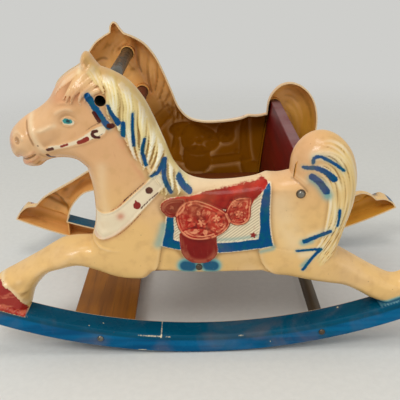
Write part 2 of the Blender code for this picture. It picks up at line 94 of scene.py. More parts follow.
def smooth(points: Sequence[Point], step: float = 1.6, closed: bool = False) -> Array:
    """Points along a centripetal Catmull-Rom curve.

    Args:
        points: The points that the curve goes through.
        step: Largest distance between the points returned.
        closed: Whether the curve comes back to its first point.

    Returns:
        An array of (x, z) rows, with both ends or, where it is closed, without the first point again.
    """
    given = np.array(points, float)
    if len(given) == 2:
        count = max(2, math.ceil(np.linalg.norm(given[1] - given[0]) / step) + 1)
        return np.linspace(given[0], given[1], count)
    if closed:
        ends = np.vstack([given[-1:], given, given[:2]])
    else:
        ends = np.vstack([2 * given[0] - given[1], given, 2 * given[-1] - given[-2]])
    rows = []
    for p0, p1, p2, p3 in zip(ends, ends[1:], ends[2:], ends[3:]):
        t1 = math.sqrt(np.linalg.norm(p1 - p0))
        t2 = t1 + math.sqrt(np.linalg.norm(p2 - p1))
        t3 = t2 + math.sqrt(np.linalg.norm(p3 - p2))
        count = max(1, math.ceil(np.linalg.norm(p2 - p1) / step))
        t = (t1 + (t2 - t1) * np.arange(count) / count)[:, None]
        a1 = p0 + (p1 - p0) * t / t1
        a2 = p1 + (p2 - p1) * (t - t1) / (t2 - t1)
        a3 = p2 + (p3 - p2) * (t - t2) / (t3 - t2)
        b1 = a1 + (a2 - a1) * t / t2
        b2 = a2 + (a3 - a2) * (t - t1) / (t3 - t1)
        rows.append(b1 + (b2 - b1) * (t - t1) / (t2 - t1))
    return np.vstack(rows if closed else rows + [given[-1:]])


def arc(x_from: float, x_to: float, rise: float, step: float = 3.0) -> Array:
    """Points along an arc that stands off the rocker's underside.

    Args:
        x_from: Where the arc starts, in millimetres.
        x_to: Where it ends.
        rise: How far the arc is above the underside's.
        step: Largest distance between the points.

    Returns:
        An array of (x, z) rows, with both ends.
    """
    x = np.linspace(x_from, x_to, max(2, math.ceil(abs(x_to - x_from) / step)))
    z = RUNNER_RADIUS - np.sqrt((RUNNER_RADIUS - rise) ** 2 - (x - RUNNER_LOWEST) ** 2)
    return np.column_stack([x, z])


def arc_height(x: Array) -> Array:
    """Heights of the rocker's underside at places along the horse, in millimetres."""
    return RUNNER_RADIUS - np.sqrt(RUNNER_RADIUS ** 2 - (x - RUNNER_LOWEST) ** 2)


@dataclass
class Line:
    """A line on the horse's side.

    Attributes:
        points: Its points, in millimetres.
        closed: Whether it comes back to its first point.
    """

    points: Array
    closed: bool = False

    @classmethod
    def through(cls, *points: Point, closed: bool = False, step: float = 2.5) -> "Line":
        """A smooth line through the points, with its own points at most a step apart."""
        return cls(smooth(points, step, closed), closed)

    @classmethod
    def of(cls, way: "Way") -> "Line":
        """The line itself, or a smooth one where only its points are given."""
        return way if isinstance(way, cls) else cls.through(*way)

    def project(self, at: Array) -> tuple[Array, Array, Array]:
        """Where points lie beside the line.

        Args:
            at: An array of (x, z) rows.

        Returns:
            Each point's distance, its distance with a sign that is positive to the line's left, and its share
            of the way along the line.
        """
        knots, count = self.points, len(self.points)
        squares = (knots ** 2).sum(axis=1)
        blocks = [at[i:i + 8192] for i in range(0, len(at), 8192)]
        nearest = np.concatenate([np.argmin(squares - 2.0 * block @ knots.T, axis=1) for block in blocks])
        ahead = np.roll(knots, -1, axis=0) - knots
        lengths = np.maximum(np.linalg.norm(ahead, axis=1), 1e-9)
        if not self.closed:
            lengths[-1] = 0.0
        reached = np.concatenate([[0.0], np.cumsum(lengths)])
        found = []
        for shift in (-1, 0):
            i = (nearest + shift) % count if self.closed else np.clip(nearest + shift, 0, count - 2)
            rel = at - knots[i]
            edge = ahead[i]
            t = np.clip((rel * edge).sum(axis=1) / lengths[i] ** 2, 0.0, 1.0)
            off = rel - t[:, None] * edge
            cross = (edge[:, 0] * rel[:, 1] - edge[:, 1] * rel[:, 0]) / lengths[i]
            found.append((np.hypot(off[:, 0], off[:, 1]), cross, (reached[i] + t * lengths[i]) / reached[-1]))
        (d0, c0, t0), (d1, c1, t1) = found
        second = d1 < d0
        distance = np.where(second, d1, d0)
        lean = np.where(np.abs(d1 - d0) < 1e-9, c0 + c1, np.where(second, c1, c0))
        return distance, np.sign(lean) * distance, np.where(second, t1, t0)

    def inside(self, at: Array) -> Array:
        """Which points the closed line goes around.

        Args:
            at: An array of (x, z) rows.

        Returns:
            An array of booleans.
        """
        x, z = self.points.T
        turn = np.sum(x * np.roll(z, -1) - z * np.roll(x, -1))
        return self.project(at)[1] * turn > 0.0


Way = Line | Sequence[Point]


def ease(value: Array) -> Array:
    """Numbers eased by a smooth step from 0 to 1."""
    t = np.clip(value, 0.0, 1.0)
    return t * t * (3.0 - 2.0 * t)


# ---------------------------------------------------------------- the outline
class Outline:
    """The outline of one side: the horse, and the rocker rail under it."""

    REAR_TOE = runner(400)
    FRONT_TOE = runner(-400)

    def __init__(self) -> None:
        """Lays out the closed lines of the whole side, its gap, the horse and the rail."""
        self.outer = Line(self._outer(), True)
        self.gap = Line(self._gap(), True)
        self.horse = Line(self._horse(), True)
        self.rail = Line(self._rail(), True)

    def _upper(self) -> Array:
        """The silhouette from the rear toe over the horse's back to the front toe."""
        hock, hump_foot, cantle = (200, 178), (121, 307), (86, 305)
        ear_back, ear_front, lip, mouth = (-145, 466), (-172, 468), (-279, 340.5), (-268.5, 338.5)
        throat, breast, fetlock = (-177, 322), (-181, 206), runner(-356, 50)
        runs = [
            [self.REAR_TOE, runner(392, 16), runner(375, 33), runner(357, 41)],
            [runner(357, 41), runner(344, 57), runner(325, 70), runner(295, 72), runner(262, 98),
             runner(228, 129), hock],
            [hock, (206, 205), (214, 235), (220, 262), (222, 290), (218, 317), (211, 335), (200, 350),
             (184, 362), (166, 367), (148, 363), (133, 350), (124, 332), hump_foot],
            [hump_foot, (104, 304), cantle],
            [cantle, (70, 299), (30, 294), (-6, 295), (-30, 303), (-48, 323), (-61, 356), (-75, 392),
             (-89, 422), (-108, 446), (-128, 459), ear_back],
            [ear_back, (-152, 475), (-158, 484), (-164, 486), (-170, 479), ear_front],
            [ear_front, (-186, 460), (-199, 451), (-210, 438), (-221, 422), (-236, 410), (-254, 400),
             (-269, 389), (-279, 378), (-284, 366), (-284, 353), (-282, 345), lip],
            [lip, (-275, 337.5), mouth],
            [mouth, (-269.5, 333), (-267, 327), (-256, 323), (-244, 324), (-233, 331.5), (-212, 336),
             (-190, 333), throat],
            [throat, (-172, 295), (-170, 262), (-173, 230), breast],
            [breast, (-204, 205.5), (-226, 202), runner(-240, 164), runner(-268, 139), runner(-303, 108),
             runner(-335, 78), fetlock],
            [fetlock, runner(-374, 40), runner(-389, 22), self.FRONT_TOE],
        ]
        return np.vstack([smooth(run)[:-1] for run in runs] + [np.array([self.FRONT_TOE])])

    def _belly(self) -> Array:
        """The legs' and the belly's lower edge, from the rail's front to the rail's rear."""
        elbow, flank = (-86, 150), (80, 150)
        front = tuple(arc(-292, -292, RAIL_HEIGHT)[0])
        rear = tuple(arc(272, 272, RAIL_HEIGHT)[0])
        under = [front, runner(-281, 70), runner(-268, 92), runner(-251, 112), (-230, 152), (-205, 157),
                 (-178, 151), (-147, 142), (-118, 138), (-100, 139), elbow]
        behind = [flank, (98, 142), (140, 130), runner(185, 98), runner(212, 85), runner(234, 68),
                  runner(254, 50), rear]
        return np.vstack([smooth(under)[:-1], smooth([elbow, flank], 2.2)[:-1], smooth(behind)])

    def _outer(self) -> Array:
        """The side's outer edge: the rocker's underside and the silhouette."""
        return np.vstack([arc(-400, 400, 0.0, 2.4)[:-1], self._upper()[:-1]])

    def _gap(self) -> Array:
        """The opening between the belly and the rail."""
        return np.vstack([self._belly()[:-1], arc(272, -292, RAIL_HEIGHT, 2.4)[:-1]])

    def _horse(self) -> Array:
        """The horse alone, with its hooves let 15 mm into the rail."""
        sunk = RAIL_HEIGHT - 15.0
        return np.vstack([self._upper(), arc(-392, -292, sunk), self._belly()[1:-1], arc(272, 392, sunk)])

    def _rail(self) -> Array:
        """The rail alone."""
        return np.vstack([arc(-400, 400, 0.0), arc(397, -397, RAIL_HEIGHT)])


# ---------------------------------------------------------------- a sheet that takes relief and paint
class Channel(Enum):
    """What is stored at each point of a side, for its finish to read."""

    INSIDE = "inside"
    RIM = "rim"
    RAIL = "rail"
    WHEAT = "wheat"
    BLUE = "blue"
    BLUE_MIST = "blue_mist"
    RED = "red"
    HOOF = "hoof"
    DARK = "dark"
    ROSE = "rose"
    CREAM = "cream"
    TEAL = "teal"
    PUPIL = "pupil"
    CHIP = "chip"
    OCHRE = "ochre"
    # lighter sprays, and painted highlights along ridges, folds and tops
    PALE = "pale"
    BLUSH = "blush"
    # painted shade along the creases inside, and on the rail's top outside
    GROOVE = "groove"
    HATCH = "hatch"
    TOOLED = "tooled"
    # how far a point stands over its smoothed surroundings, from which painted shade in hollows and painted
    # highlights on tops are drawn
    CAVITY = "cavity"


CRISP = {Channel.BLUE, Channel.DARK, Channel.ROSE, Channel.CREAM, Channel.TEAL, Channel.PUPIL,
         Channel.CHIP, Channel.HOOF}


Paint = dict[Channel, Array]


def unpainted(count: int) -> Paint:
    """The channels of some points without any paint."""
    return {c: np.full(count, UNPAINTED if c in CRISP else 0.0) for c in Channel}


class Sheet:
    """Points of a side's surface with their relief and paint.

    Attributes:
        at: Their (x, z) rows, in millimetres.
        relief: How far each is raised from the plain form.
        layer: A relief being built of overlapping forms.
        paint: The value of each channel; crisp ones hold the distance into the painted patch, in millimetres.
    """

    def __init__(self, at: Array) -> None:
        """Starts with a plain, unpainted sheet.

        Args:
            at: The points' (x, z) rows, in millimetres.
        """
        self.at = at
        self.relief = np.zeros(len(at))
        self.layer = np.zeros(len(at))
        self.paint = unpainted(len(at))

    def _near(self, line: Line, reach: float) -> Array:
        """Indexes of the points within reach of the line's box."""
        low, high = line.points.min(0) - reach, line.points.max(0) + reach
        return np.nonzero(np.all((self.at >= low) & (self.at <= high), axis=1))[0]

    def ridge(self, line: Way, width: float, height: float, taper: float = 0.0) -> None:
        """Raises, or with a negative height cuts, a rounded line.

        Args:
            line: Where.
            width: Half the ridge's width at its foot, in millimetres.
            height: Its height.
            taper: Share of the line's length over which each end fades.
        """
        line = Line.of(line)
        near = self._near(line, width * 2.2)
        if not len(near):
            return
        distance, _, along = line.project(self.at[near])
        fade = np.ones(len(near))
        if taper:
            fade = ease(np.minimum(along, 1.0 - along) / taper)
        self.relief[near] += height * fade * np.exp(-(distance / width) ** 2 * 1.8)

    def bump(self, x: float, z: float, across: float, up: float, height: float, turn: float = 0.0) -> None:
        """Raises a soft oval swelling, or sinks a hollow.

        Args:
            x: Its centre.
            z: Its centre.
            across: Its half width.
            up: Its half height.
            height: How far it stands out.
            turn: Degrees that it is turned by, anticlockwise on the left side.
        """
        rel = self.at - np.array([x, z])
        c, s = math.cos(math.radians(turn)), math.sin(math.radians(turn))
        u = (rel[:, 0] * c + rel[:, 1] * s) / across
        v = (rel[:, 1] * c - rel[:, 0] * s) / up
        self.relief += height * np.exp(-(u * u + v * v) * 1.5)

    def fold(self, line: Way, height: float, reach: float, sharp: float = 1.6, taper: float = 0.2) -> None:
        """Raises the surface on a line's left, steeply at the line and fading away from it.

        Args:
            line: The fold.
            height: The step's height.
            reach: How far the raised side takes to fade.
            sharp: Width of the step itself.
            taper: Share of the line's length over which each end fades.
        """
        line = Line.of(line)
        near = self._near(line, reach * 3)
        distance, side, along = line.project(self.at[near])
        fade = ease(np.minimum(along, 1.0 - along) / taper)
        shape = ease(side / sharp + 0.5) * np.exp(-np.maximum(side, 0.0) / reach)
        far = np.clip(1.0 - (distance - np.abs(side)) / reach, 0.0, 1.0)
        self.relief[near] += height * fade * shape * far

    def plateau(self, line: Line, height: float, soft: float = 2.0, dome: float = 0.0) -> Array:
        """Raises everything that a closed line goes around.

        Args:
            line: The closed line.
            height: The step's height.
            soft: Width of the step.
            dome: Further height, reached in the middle.

        Returns:
            The distance into the patch of every point, negative outside it.
        """
        depth = self.depth(line)
        self.relief += height * ease(depth / soft + 0.5)
        if dome:
            top = max(depth.max(), 1.0)
            self.relief += dome * np.sqrt(np.clip(1.0 - (1.0 - np.clip(depth / top, 0, 1)) ** 2, 0, 1))
        return depth

    def depth(self, line: Line) -> Array:
        """How far the points are inside a closed line.

        Args:
            line: The closed line.

        Returns:
            Distances in millimetres, negative outside and never under -30.
        """
        result = np.full(len(self.at), -30.0)
        near = self._near(line, 30.0)
        distance, _, _ = line.project(self.at[near])
        sign = np.where(line.inside(self.at[near]), 1.0, -1.0)
        result[near] = distance * sign
        return result

    def lock(self, line: Way, width: float, height: float, strands: int, tip: float = 0.25,
             paint: float = 1.0) -> None:
        """Lays a lock of hair over what is there.

        Args:
            line: Its middle, from its root to its tip.
            width: Half its width at its root.
            height: How far it stands out.
            strands: How many strands show in it.
            tip: Its width at its tip, as a share of that at its root.
            paint: How much of the hair's paint it takes.
        """
        line = Line.of(line)
        near = self._near(line, width * 1.6)
        distance, side, along = line.project(self.at[near])
        swell = 0.75 + 0.25 * np.sin(np.pi * np.clip(along * 1.4, 0, 1))
        half = width * swell * (1.0 - (1.0 - tip) * ease((along - 0.45) / 0.55))
        s = side / half
        beyond = distance > np.abs(side) + 0.3
        rise = np.sqrt(np.clip(1.0 - s * s, 0.0, 1.0))
        fine = np.abs(np.cos(0.5 * np.pi * strands * (s + 0.16 * np.sin(6.0 * along + line.points[0][0]))))
        value = height * rise * (0.58 + 0.42 * fine ** 0.7) * ease(along / 0.10) * ease((1.0 - along) / 0.05)
        value[(np.abs(s) > 1.0) | (beyond & ((along < 0.001) | (along > 0.999)))] = 0.0
        self.layer[near] = np.maximum(self.layer[near], value)
        cover = paint * ease((1.25 - np.abs(s)) / 0.5) * ease((along - 0.04) / 0.16) * (distance < half * 1.5)
        wheat = self.paint[Channel.WHEAT]
        wheat[near] = np.maximum(wheat[near], cover)

    def open_layer(self) -> None:
        """Starts a layer of overlapping locks."""
        self.layer[:] = 0.0

    def close_layer(self) -> None:
        """Adds the layer of locks to the relief."""
        self.relief += np.maximum(self.layer, 0.0)

    def stroke(self, channel: Channel, line: Way, width: float, end_width: float | None = None) -> None:
        """Paints a brush stroke.

        Args:
            channel: The paint.
            line: The brush's way.
            width: Half the stroke's width where it starts.
            end_width: Half its width where it ends.
        """
        line = Line.of(line)
        near = self._near(line, 9.0)
        distance, _, along = line.project(self.at[near])
        half = width + ((width if end_width is None else end_width) - width) * along
        target = self.paint[channel]
        target[near] = np.maximum(target[near], half - distance)

    def fill(self, channel: Channel, line: Line, amount: float = 1.0, soft: float = 0.0) -> None:
        """Paints inside a closed line: crisply on a crisp channel, or sprayed with a soft edge.

        Args:
            channel: The paint.
            line: The closed line.
            amount: How dense a spray is.
            soft: Width of the spray's edge.
        """
        depth = self.depth(line)
        target = self.paint[channel]
        if channel in CRISP:
            np.maximum(target, depth, out=target)
        else:
            np.maximum(target, amount * ease(depth / max(soft, 0.1) + 0.5), out=target)

    def spray(self, channel: Channel, line: Way, reach: float, amount: float) -> None:
        """Sprays a soft line of paint.

        Args:
            channel: The paint.
            line: The middle of the line.
            reach: How far it spreads.
            amount: How dense it is in the middle.
        """
        line = Line.of(line)
        near = self._near(line, reach * 2)
        distance, _, _ = line.project(self.at[near])
        target = self.paint[channel]
        target[near] = np.maximum(target[near], amount * np.exp(-(distance / reach) ** 2))


# ---------------------------------------------------------------- the moulded side
@dataclass(frozen=True)
class Station:
    """How rounded the horse is around one place.

    Attributes:
        x: The place.
        z: The place.
        deep: Depth of the form over the open rim, in millimetres.
        radius: How far in from the outline it reaches that depth.
        wall: Depth of the straight wall at the outline.
    """

    x: float
    z: float
    deep: float
    radius: float
    wall: float


STATIONS = [
    Station(-262, 355, 33, 26, 3), Station(-225, 385, 35.5, 32, 3), Station(-185, 435, 35, 28, 4),
    Station(-160, 474, 24, 13, 3), Station(-110, 425, 37, 22, 6), Station(-125, 350, 38, 24, 6),
    Station(-165, 310, 37.5, 24, 5), Station(-160, 240, 38.5, 22, 7), Station(-120, 200, 39.5, 17, 9),
    Station(-110, 155, 39.5, 14, 10), Station(0, 260, 38, 18, 5), Station(0, 170, 38, 7.5, 20),
    Station(80, 275, 38, 17, 5), Station(60, 170, 38, 8, 19), Station(170, 325, 37, 27, 6),
    Station(170, 240, 39, 24, 8), Station(140, 165, 39.5, 18, 9), Station(255, 130, 34, 18, 5),
    Station(330, 112, 32, 17, 5), Station(375, 108, 35, 15, 5), Station(-210, 185, 37.5, 22, 5),
    Station(-270, 142, 34.5, 19, 5), Station(-325, 112, 33, 17, 5), Station(-375, 108, 35, 15, 5),
]


@dataclass
class SideForm:
    """One side of the horse as a relief with paint, laid out as the left side is seen.

    Attributes:
        outline: Its outline.
        rail_depth: Depth of the rail over the open rim, in millimetres.
        rail_edge: Rounding of the rail's edges.
        wall: The plastic's thickness.
    """

    outline: Outline = field(default_factory=Outline)
    rail_depth: float = 38.0
    rail_edge: float = 4.5
    wall: float = 2.6

    def base(self, at: Array, inset: float = 0.0) -> tuple[Array, Array]:
        """The plain form's depth over the rim.

        Args:
            at: Points, in millimetres.
            inset: How far the surface is moved into the plastic.

        Returns:
            The depths, and a share that is 1 on the rail and 0 on the horse.
        """
        weights = np.zeros(len(at))
        mixed = np.zeros((3, len(at)))
        for station in STATIONS:
            weight = 1.0 / ((at[:, 0] - station.x) ** 2 + (at[:, 1] - station.z) ** 2 + 150.0) ** 1.6
            weights += weight
            for row, value in zip(mixed, (station.deep, station.radius, station.wall)):
                row += weight * value
        deep, radius, wall = mixed / weights
        deep, radius = deep - inset, np.maximum(radius - inset, 3.0)
        horse = self._profile(self.outline.horse, at, inset, deep, radius, wall)
        edge = max(self.rail_edge - inset, 1.5)
        rail = self._profile(
            self.outline.rail, at, inset, self.rail_depth - inset, edge, self.rail_depth - 5.5)
        rail = np.where(self.outline.rail.inside(at) | (rail > 0), rail, 0.0)
        toe = np.clip((np.abs(at[:, 0]) - 356.0) / 44.0, 0.0, 0.93)
        return np.maximum(horse, rail) * np.sqrt(1.0 - toe ** 2), ease((rail - horse) / 1.2 + 0.5)

    def _profile(self, line: Line, at: Array, inset: float, deep: Array | float, radius: Array | float,
                 wall: Array | float) -> Array:
        """The depth of a form that rises from a straight wall over a rounded edge.

        Args:
            line: The form's outline.
            at: Points, in millimetres.
            inset: How far the surface is moved into the plastic.
            deep: Its full depth.
            radius: How far in from the outline it reaches that depth.
            wall: Depth of the straight wall.

        Returns:
            The depths, 0 outside the outline.
        """
        distance, _, _ = line.project(at)
        inside = line.inside(at) | (distance < 0.05)
        toward = 1.0 - np.clip((distance - inset) / radius, 0.0, 1.0)
        fullness = 0.5 + 0.22 * ease((np.asarray(radius) - 12.0) / 10.0)
        depth = wall + (deep - wall) * np.power(1.0 - toward ** 2, fullness)
        return np.where(inside, depth, 0.0)

    def dress(self, sheet: Sheet) -> None:
        """Adds all the moulded and painted forms to a sheet.

        Args:
            sheet: The surface's points.
        """
        self.muscles(sheet)
        self.head(sheet)
        self.hooves(sheet)
        self.collar(sheet)
        self.blanket(sheet)
        self.saddle(sheet)
        self.mane(sheet)
        self.tail(sheet)
        self.brushwork(sheet)

    def muscles(self, sheet: Sheet) -> None:
        """The swellings and folds of the neck, chest, shoulder, thigh and legs.

        Args:
            sheet: The surface's points.
        """
        ochre, pale = Channel.OCHRE, Channel.PALE
        for row in (
            ([(-62, 240), (-70, 213), (-75, 187), (-80, 165), (-92, 148), (-110, 136)], -2.4, 40),
            ([(84, 215), (76, 200), (77, 182), (83, 165), (97, 150), (120, 134)], 2.6, 42),
        ):
            sheet.fold(*row)
        for shift in (0.0, 5.0, 10.0):
            sheet.ridge([(-306 + shift, 122), (-297 + shift, 124), (-290 + shift, 131)], 1.8, 0.9, 0.3)
        for row in (
            (-118, 190, 42, 38, 1.6), (150, 190, 55, 45, 1.8), (-150, 285, 13, 55, 1.6, 8),
            (-112, 300, 26, 60, -1.2, 20), (-215, 182, 40, 9, 2.0, 38), (-262, 158, 26, 8, 1.8, 42),
            (-296, 142, 12, 8, 2.0, 40), (-322, 132, 10, 6, 1.2, 30), (-292, 118, 10, 5, -1.4, 30),
            (-313, 126, 12, 4, -1.2, -60), (265, 145, 40, 8, 1.8, -30), (312, 128, 14, 8, 1.6, -20),
            (327, 118, 6, 12, -1.2, 20),
        ):
            sheet.bump(*row)
        for shift in (0.0, 6.0, 12.0):
            sheet.ridge([(298 + shift, 118), (306 + shift, 108), (316 + shift, 103)], 2.0, 1.0, 0.3)
        for row in (
            ([(-186, 212), (-172, 208), (-158, 200), (-142, 197)], 3.0, 1.6, 0.3),
            ([(-168, 190), (-150, 196), (-128, 194)], 4.0, 0.9, 0.3),
            ([(232, 150), (258, 133), (285, 118), (318, 108)], 3.0, 0.8, 0.3),
            ([(116, 304), (128, 300), (140, 290), (146, 280)], 3.0, -1.3, 0.2),
            ([(120, 309), (133, 305), (146, 295)], 3.0, 1.0, 0.2),
        ):
            sheet.ridge(*row)
        # Ochre sprays; the two lighter sprays are painted highlights on the slope before the hump and along
        # the neck's swelling.
        for row in (
            (ochre, [(-60, 175), (0, 166), (70, 172)], 16, 0.35),
            (ochre, [(-110, 145), (-180, 162), (-240, 145), (-300, 108)], 12, 0.40),
            (ochre, [(110, 150), (190, 120), (260, 90), (330, 80)], 14, 0.45),
            (pale, [(104, 268), (112, 240), (128, 205)], 20, 0.40),
            (pale, [(-150, 330), (-153, 290), (-150, 262)], 8, 0.30),
        ):
            sheet.spray(*row)

    def head(self, sheet: Sheet) -> None:
        """Eye, nostril, mouth, ear and the straps of the bridle.

        Args:
            sheet: The surface's points.
        """
        pale, blush, dark = Channel.PALE, Channel.BLUSH, Channel.DARK
        band = Line.through((-246, 401), (-243, 389), (-240, 379), (-237, 368), (-229, 355))
        for lip in (((-270, 345), (-256, 347), (-243, 353)), ((-262, 335), (-250, 339), (-240, 346))):
            sheet.spray(Channel.BLUSH, lip, 3.0, 0.75)
        strap = Line.through(
            (-141, 394), (-158, 387), (-173, 378), (-190, 370.5), (-208, 365.5), (-224, 362), (-229, 357),
            (-225, 352), (-208, 357), (-190, 361), (-172, 365), (-156, 371), (-139, 380), closed=True)
        sheet.plateau(strap, 1.2, 1.6)
        patch = Line.through(
            (-139, 391), (-152, 388.5), (-164, 381.5), (-178, 373.5), (-198, 366.5), (-222, 361.5),
            (-222, 358.0), (-196, 362.5), (-178, 367.5), (-160, 372.5), (-141, 381.5), closed=True)
        sheet.fill(Channel.CREAM, patch)
        for row in (
            (dark, [(-146, 395.5), (-157, 391.0), (-167, 384.5)], 0.45, 0.35),
            (dark, [(-161, 371.8), (-152, 376), (-144, 380)], 0.3, 0.5),
        ):
            sheet.stroke(*row)
        crown = Line.through((-160, 434), (-153, 420), (-144, 403), (-134, 389))
        for row in (
            ([(-202, 396), (-196, 402), (-190, 403.8), (-184, 401.5), (-178, 395)], 1.7, 1.7, 0.2),
            ([(-199, 394), (-191, 391.2), (-183, 393.0)], 1.5, 1.1, 0.2),
            ([(-213, 403), (-202, 412), (-190, 415), (-177, 409)], 5.0, 2.2, 0.3),
            ([(-206, 418), (-196, 423), (-184, 421)], 2.6, 1.3, 0.3),
            ([(-275, 372), (-270, 379), (-264, 381), (-258, 377), (-257, 369)], 2.4, 2.0, 0.15),
            ([(-268, 340), (-258, 341.5), (-249, 346), (-240, 351)], 1.5, -2.6, 0.12),
            ([(-272, 345), (-262, 346), (-252, 349.5), (-243, 355)], 2.6, 1.9, 0.2),
            ([(-264, 335), (-254, 337), (-245, 342), (-237, 348)], 2.4, 2.0, 0.2),
            ([(-257, 329), (-246, 331), (-237, 339)], 2.0, -1.2, 0.2),
            ([(-238, 352), (-231, 345), (-222, 341)], 2.6, -0.9, 0.2), (band, 4.6, 1.3, 0.08),
            ([(-253, 400), (-249, 384), (-245, 372), (-241, 361)], 1.8, -1.8, 0.15),
            ([(-238, 383), (-228, 385), (-220, 389), (-210, 393)], 3.0, 1.5, 0.3), (crown, 5.4, 1.8, 0.06),
            ([(-170, 464), (-168, 476), (-161, 484)], 3.0, 1.6, 0.2),
            ([(-150, 462), (-152, 474), (-157, 484)], 3.0, 1.2, 0.2),
        ):
            sheet.ridge(*row)
        for row in (
            (-188, 366, 40, 28, 2.2, 20), (-191, 397, 17, 12, -2.2), (-190.5, 397.6, 6.4, 5.0, 3.0),
            (-232, 392, 22, 9, 1.2, 42), (-215, 372, 30, 8, -1.2, 28), (-258, 362, 15, 20, 1.6),
            (-265.5, 369.5, 4.4, 5.4, -4.0, 20), (-276, 366, 4.5, 7.0, 1.6), (-133, 391, 6, 5.5, 1.8),
            (-160, 474, 3.5, 9, -1.2, 14),
        ):
            sheet.bump(*row)
        # The lighter sprays along the noseband, the cheek ridge and the ear's edge are painted highlights.
        for row in (
            (pale, band, 4.5, 0.5), (pale, [(-236, 384), (-222, 388), (-210, 392)], 3.5, 0.4),
            (blush, [(-277, 374), (-276, 362)], 4.5, 0.6),
            (blush, [(-205, 430), (-186, 436), (-166, 430)], 14, 0.45),
            (blush, [(-118, 372), (-108, 350), (-92, 318)], 7, 0.5),
            (Channel.OCHRE, [(-161, 482), (-150, 466), (-124, 455), (-96, 430), (-74, 388)], 8, 0.8),
            (pale, [(-170, 480), (-171, 462)], 3.0, 0.6),
        ):
            sheet.spray(*row)

    def hooves(self, sheet: Sheet) -> None:
        """The hooves, each with the ragged edge of the hair over it.

        Args:
            sheet: The surface's points.
        """
        for top, sign in (
            (((-352, 156), (-337, 147), (-328, 141), (-321, 134), (-312, 125), (-304, 114), (-298, 104),
             (-294, 94)), -1),
            (((392, 140), (378, 134), (366, 128), (354, 117), (344, 108), (336, 98)), 1),
        ):
            edge = smooth(top, 2.0)
            ragged = edge + np.column_stack([np.zeros(len(edge)), 1.9 * np.sin(np.arange(len(edge)) * 1.9)])
            heel = abs(top[-1][0])
            under = [runner(sign * x, RAIL_HEIGHT - 2.5) for x in np.linspace(heel, 404, 24)]
            hoof = Line(np.vstack([ragged, under, [(404 * sign, 156)]]), True)
            sheet.plateau(hoof, -1.4, 1.4)
            sheet.fill(Channel.HOOF, hoof)
            sheet.ridge(Line(edge + np.array([0.0, 2.6])), 3.4, 1.9)
            for i in range(2, len(edge) - 1, 2):
                x, z = edge[i]
                hair = Line.through((x + 1.5, z + 7.0 + (i * 7 % 5)), (x - 0.5, z + 0.5), step=4)
                sheet.ridge(hair, 1.2, 1.1, 0.3)
            # A painted highlight along the hair's edge; the dark sprays are painted shade, kept on the inner
            # skin, along the crease over the hoof and along the rail.
            sheet.spray(Channel.PALE, Line(edge + np.array([0.0, 4.0])), 4.0, 0.55)
            over = [(sign * 372, 150), (sign * 350, 140), (sign * 322, 122), (sign * 294, 104)]
            sheet.spray(Channel.GROOVE, over, 5.0, 1.2)
            sheet.spray(Channel.GROOVE, Line(arc(sign * 300, sign * 392, 14.0)), 7.0, 0.9)
        sheet.spray(Channel.BLUE_MIST, Line(arc(236, 336, RAIL_HEIGHT + 3.0)), 5.0, 0.9)

    def collar(self, sheet: Sheet) -> None:
        """The breast collar.

        Args:
            sheet: The surface's points.
        """
        blush, dark, rose = Channel.BLUSH, Channel.DARK, Channel.ROSE
        band = Line.through(
            (-184, 262), (-166, 260), (-144, 262), (-127, 272), (-109, 288), (-88, 307), (-72, 320),
            (-58, 308), (-73, 287), (-96, 262), (-116, 241), (-140, 222), (-158, 215.5), (-176, 218),
            (-186, 238), closed=True)
        depth = sheet.plateau(band, 1.2, 2.0)
        sheet.relief += 1.1 * np.exp(-((depth - 1.8) / 1.3) ** 2)
        sheet.relief -= 0.6 * np.exp(-((depth - 4.4) / 1.2) ** 2)
        for row in (
            ([(-170, 250), (-166, 236), (-156, 228), (-142, 232)], 5.0, 1.4, 0.3),
            ([(-176, 240), (-166, 229), (-152, 223)], 2.0, 1.0, 0.3),
        ):
            sheet.ridge(*row)
        sheet.paint[Channel.CREAM] = np.maximum(sheet.paint[Channel.CREAM], depth - 1.0)
        for row in (
            (dark, [(-122, 278.5), (-109, 289.5), (-90, 307)], 1.0, 0.5),
            (dark, [(-99, 265), (-85, 279), (-72, 291)], 0.9, 0.8),
            (rose, [(-143, 263), (-131, 269), (-122, 278)], 0.5, 0.8),
            (rose, [(-140, 220), (-122, 233), (-100, 256)], 0.4, 0.6),
            (dark, [(-85.3, 293.6), (-84.6, 294.2)], 5.2), (rose, [(-104, 270), (-103.6, 270.8)], 5.4),
            (rose, [(-104, 274), (-105.5, 278)], 2.6, 0.8),
        ):
            sheet.stroke(*row)
        for row in (
            (blush, [(-178, 224), (-158, 217), (-138, 224), (-116, 243)], 3.5, 0.5),
            (blush, [(-129.3, 253.6), (-128.6, 254.2)], 5.6, 1.0),
        ):
            sheet.spray(*row)

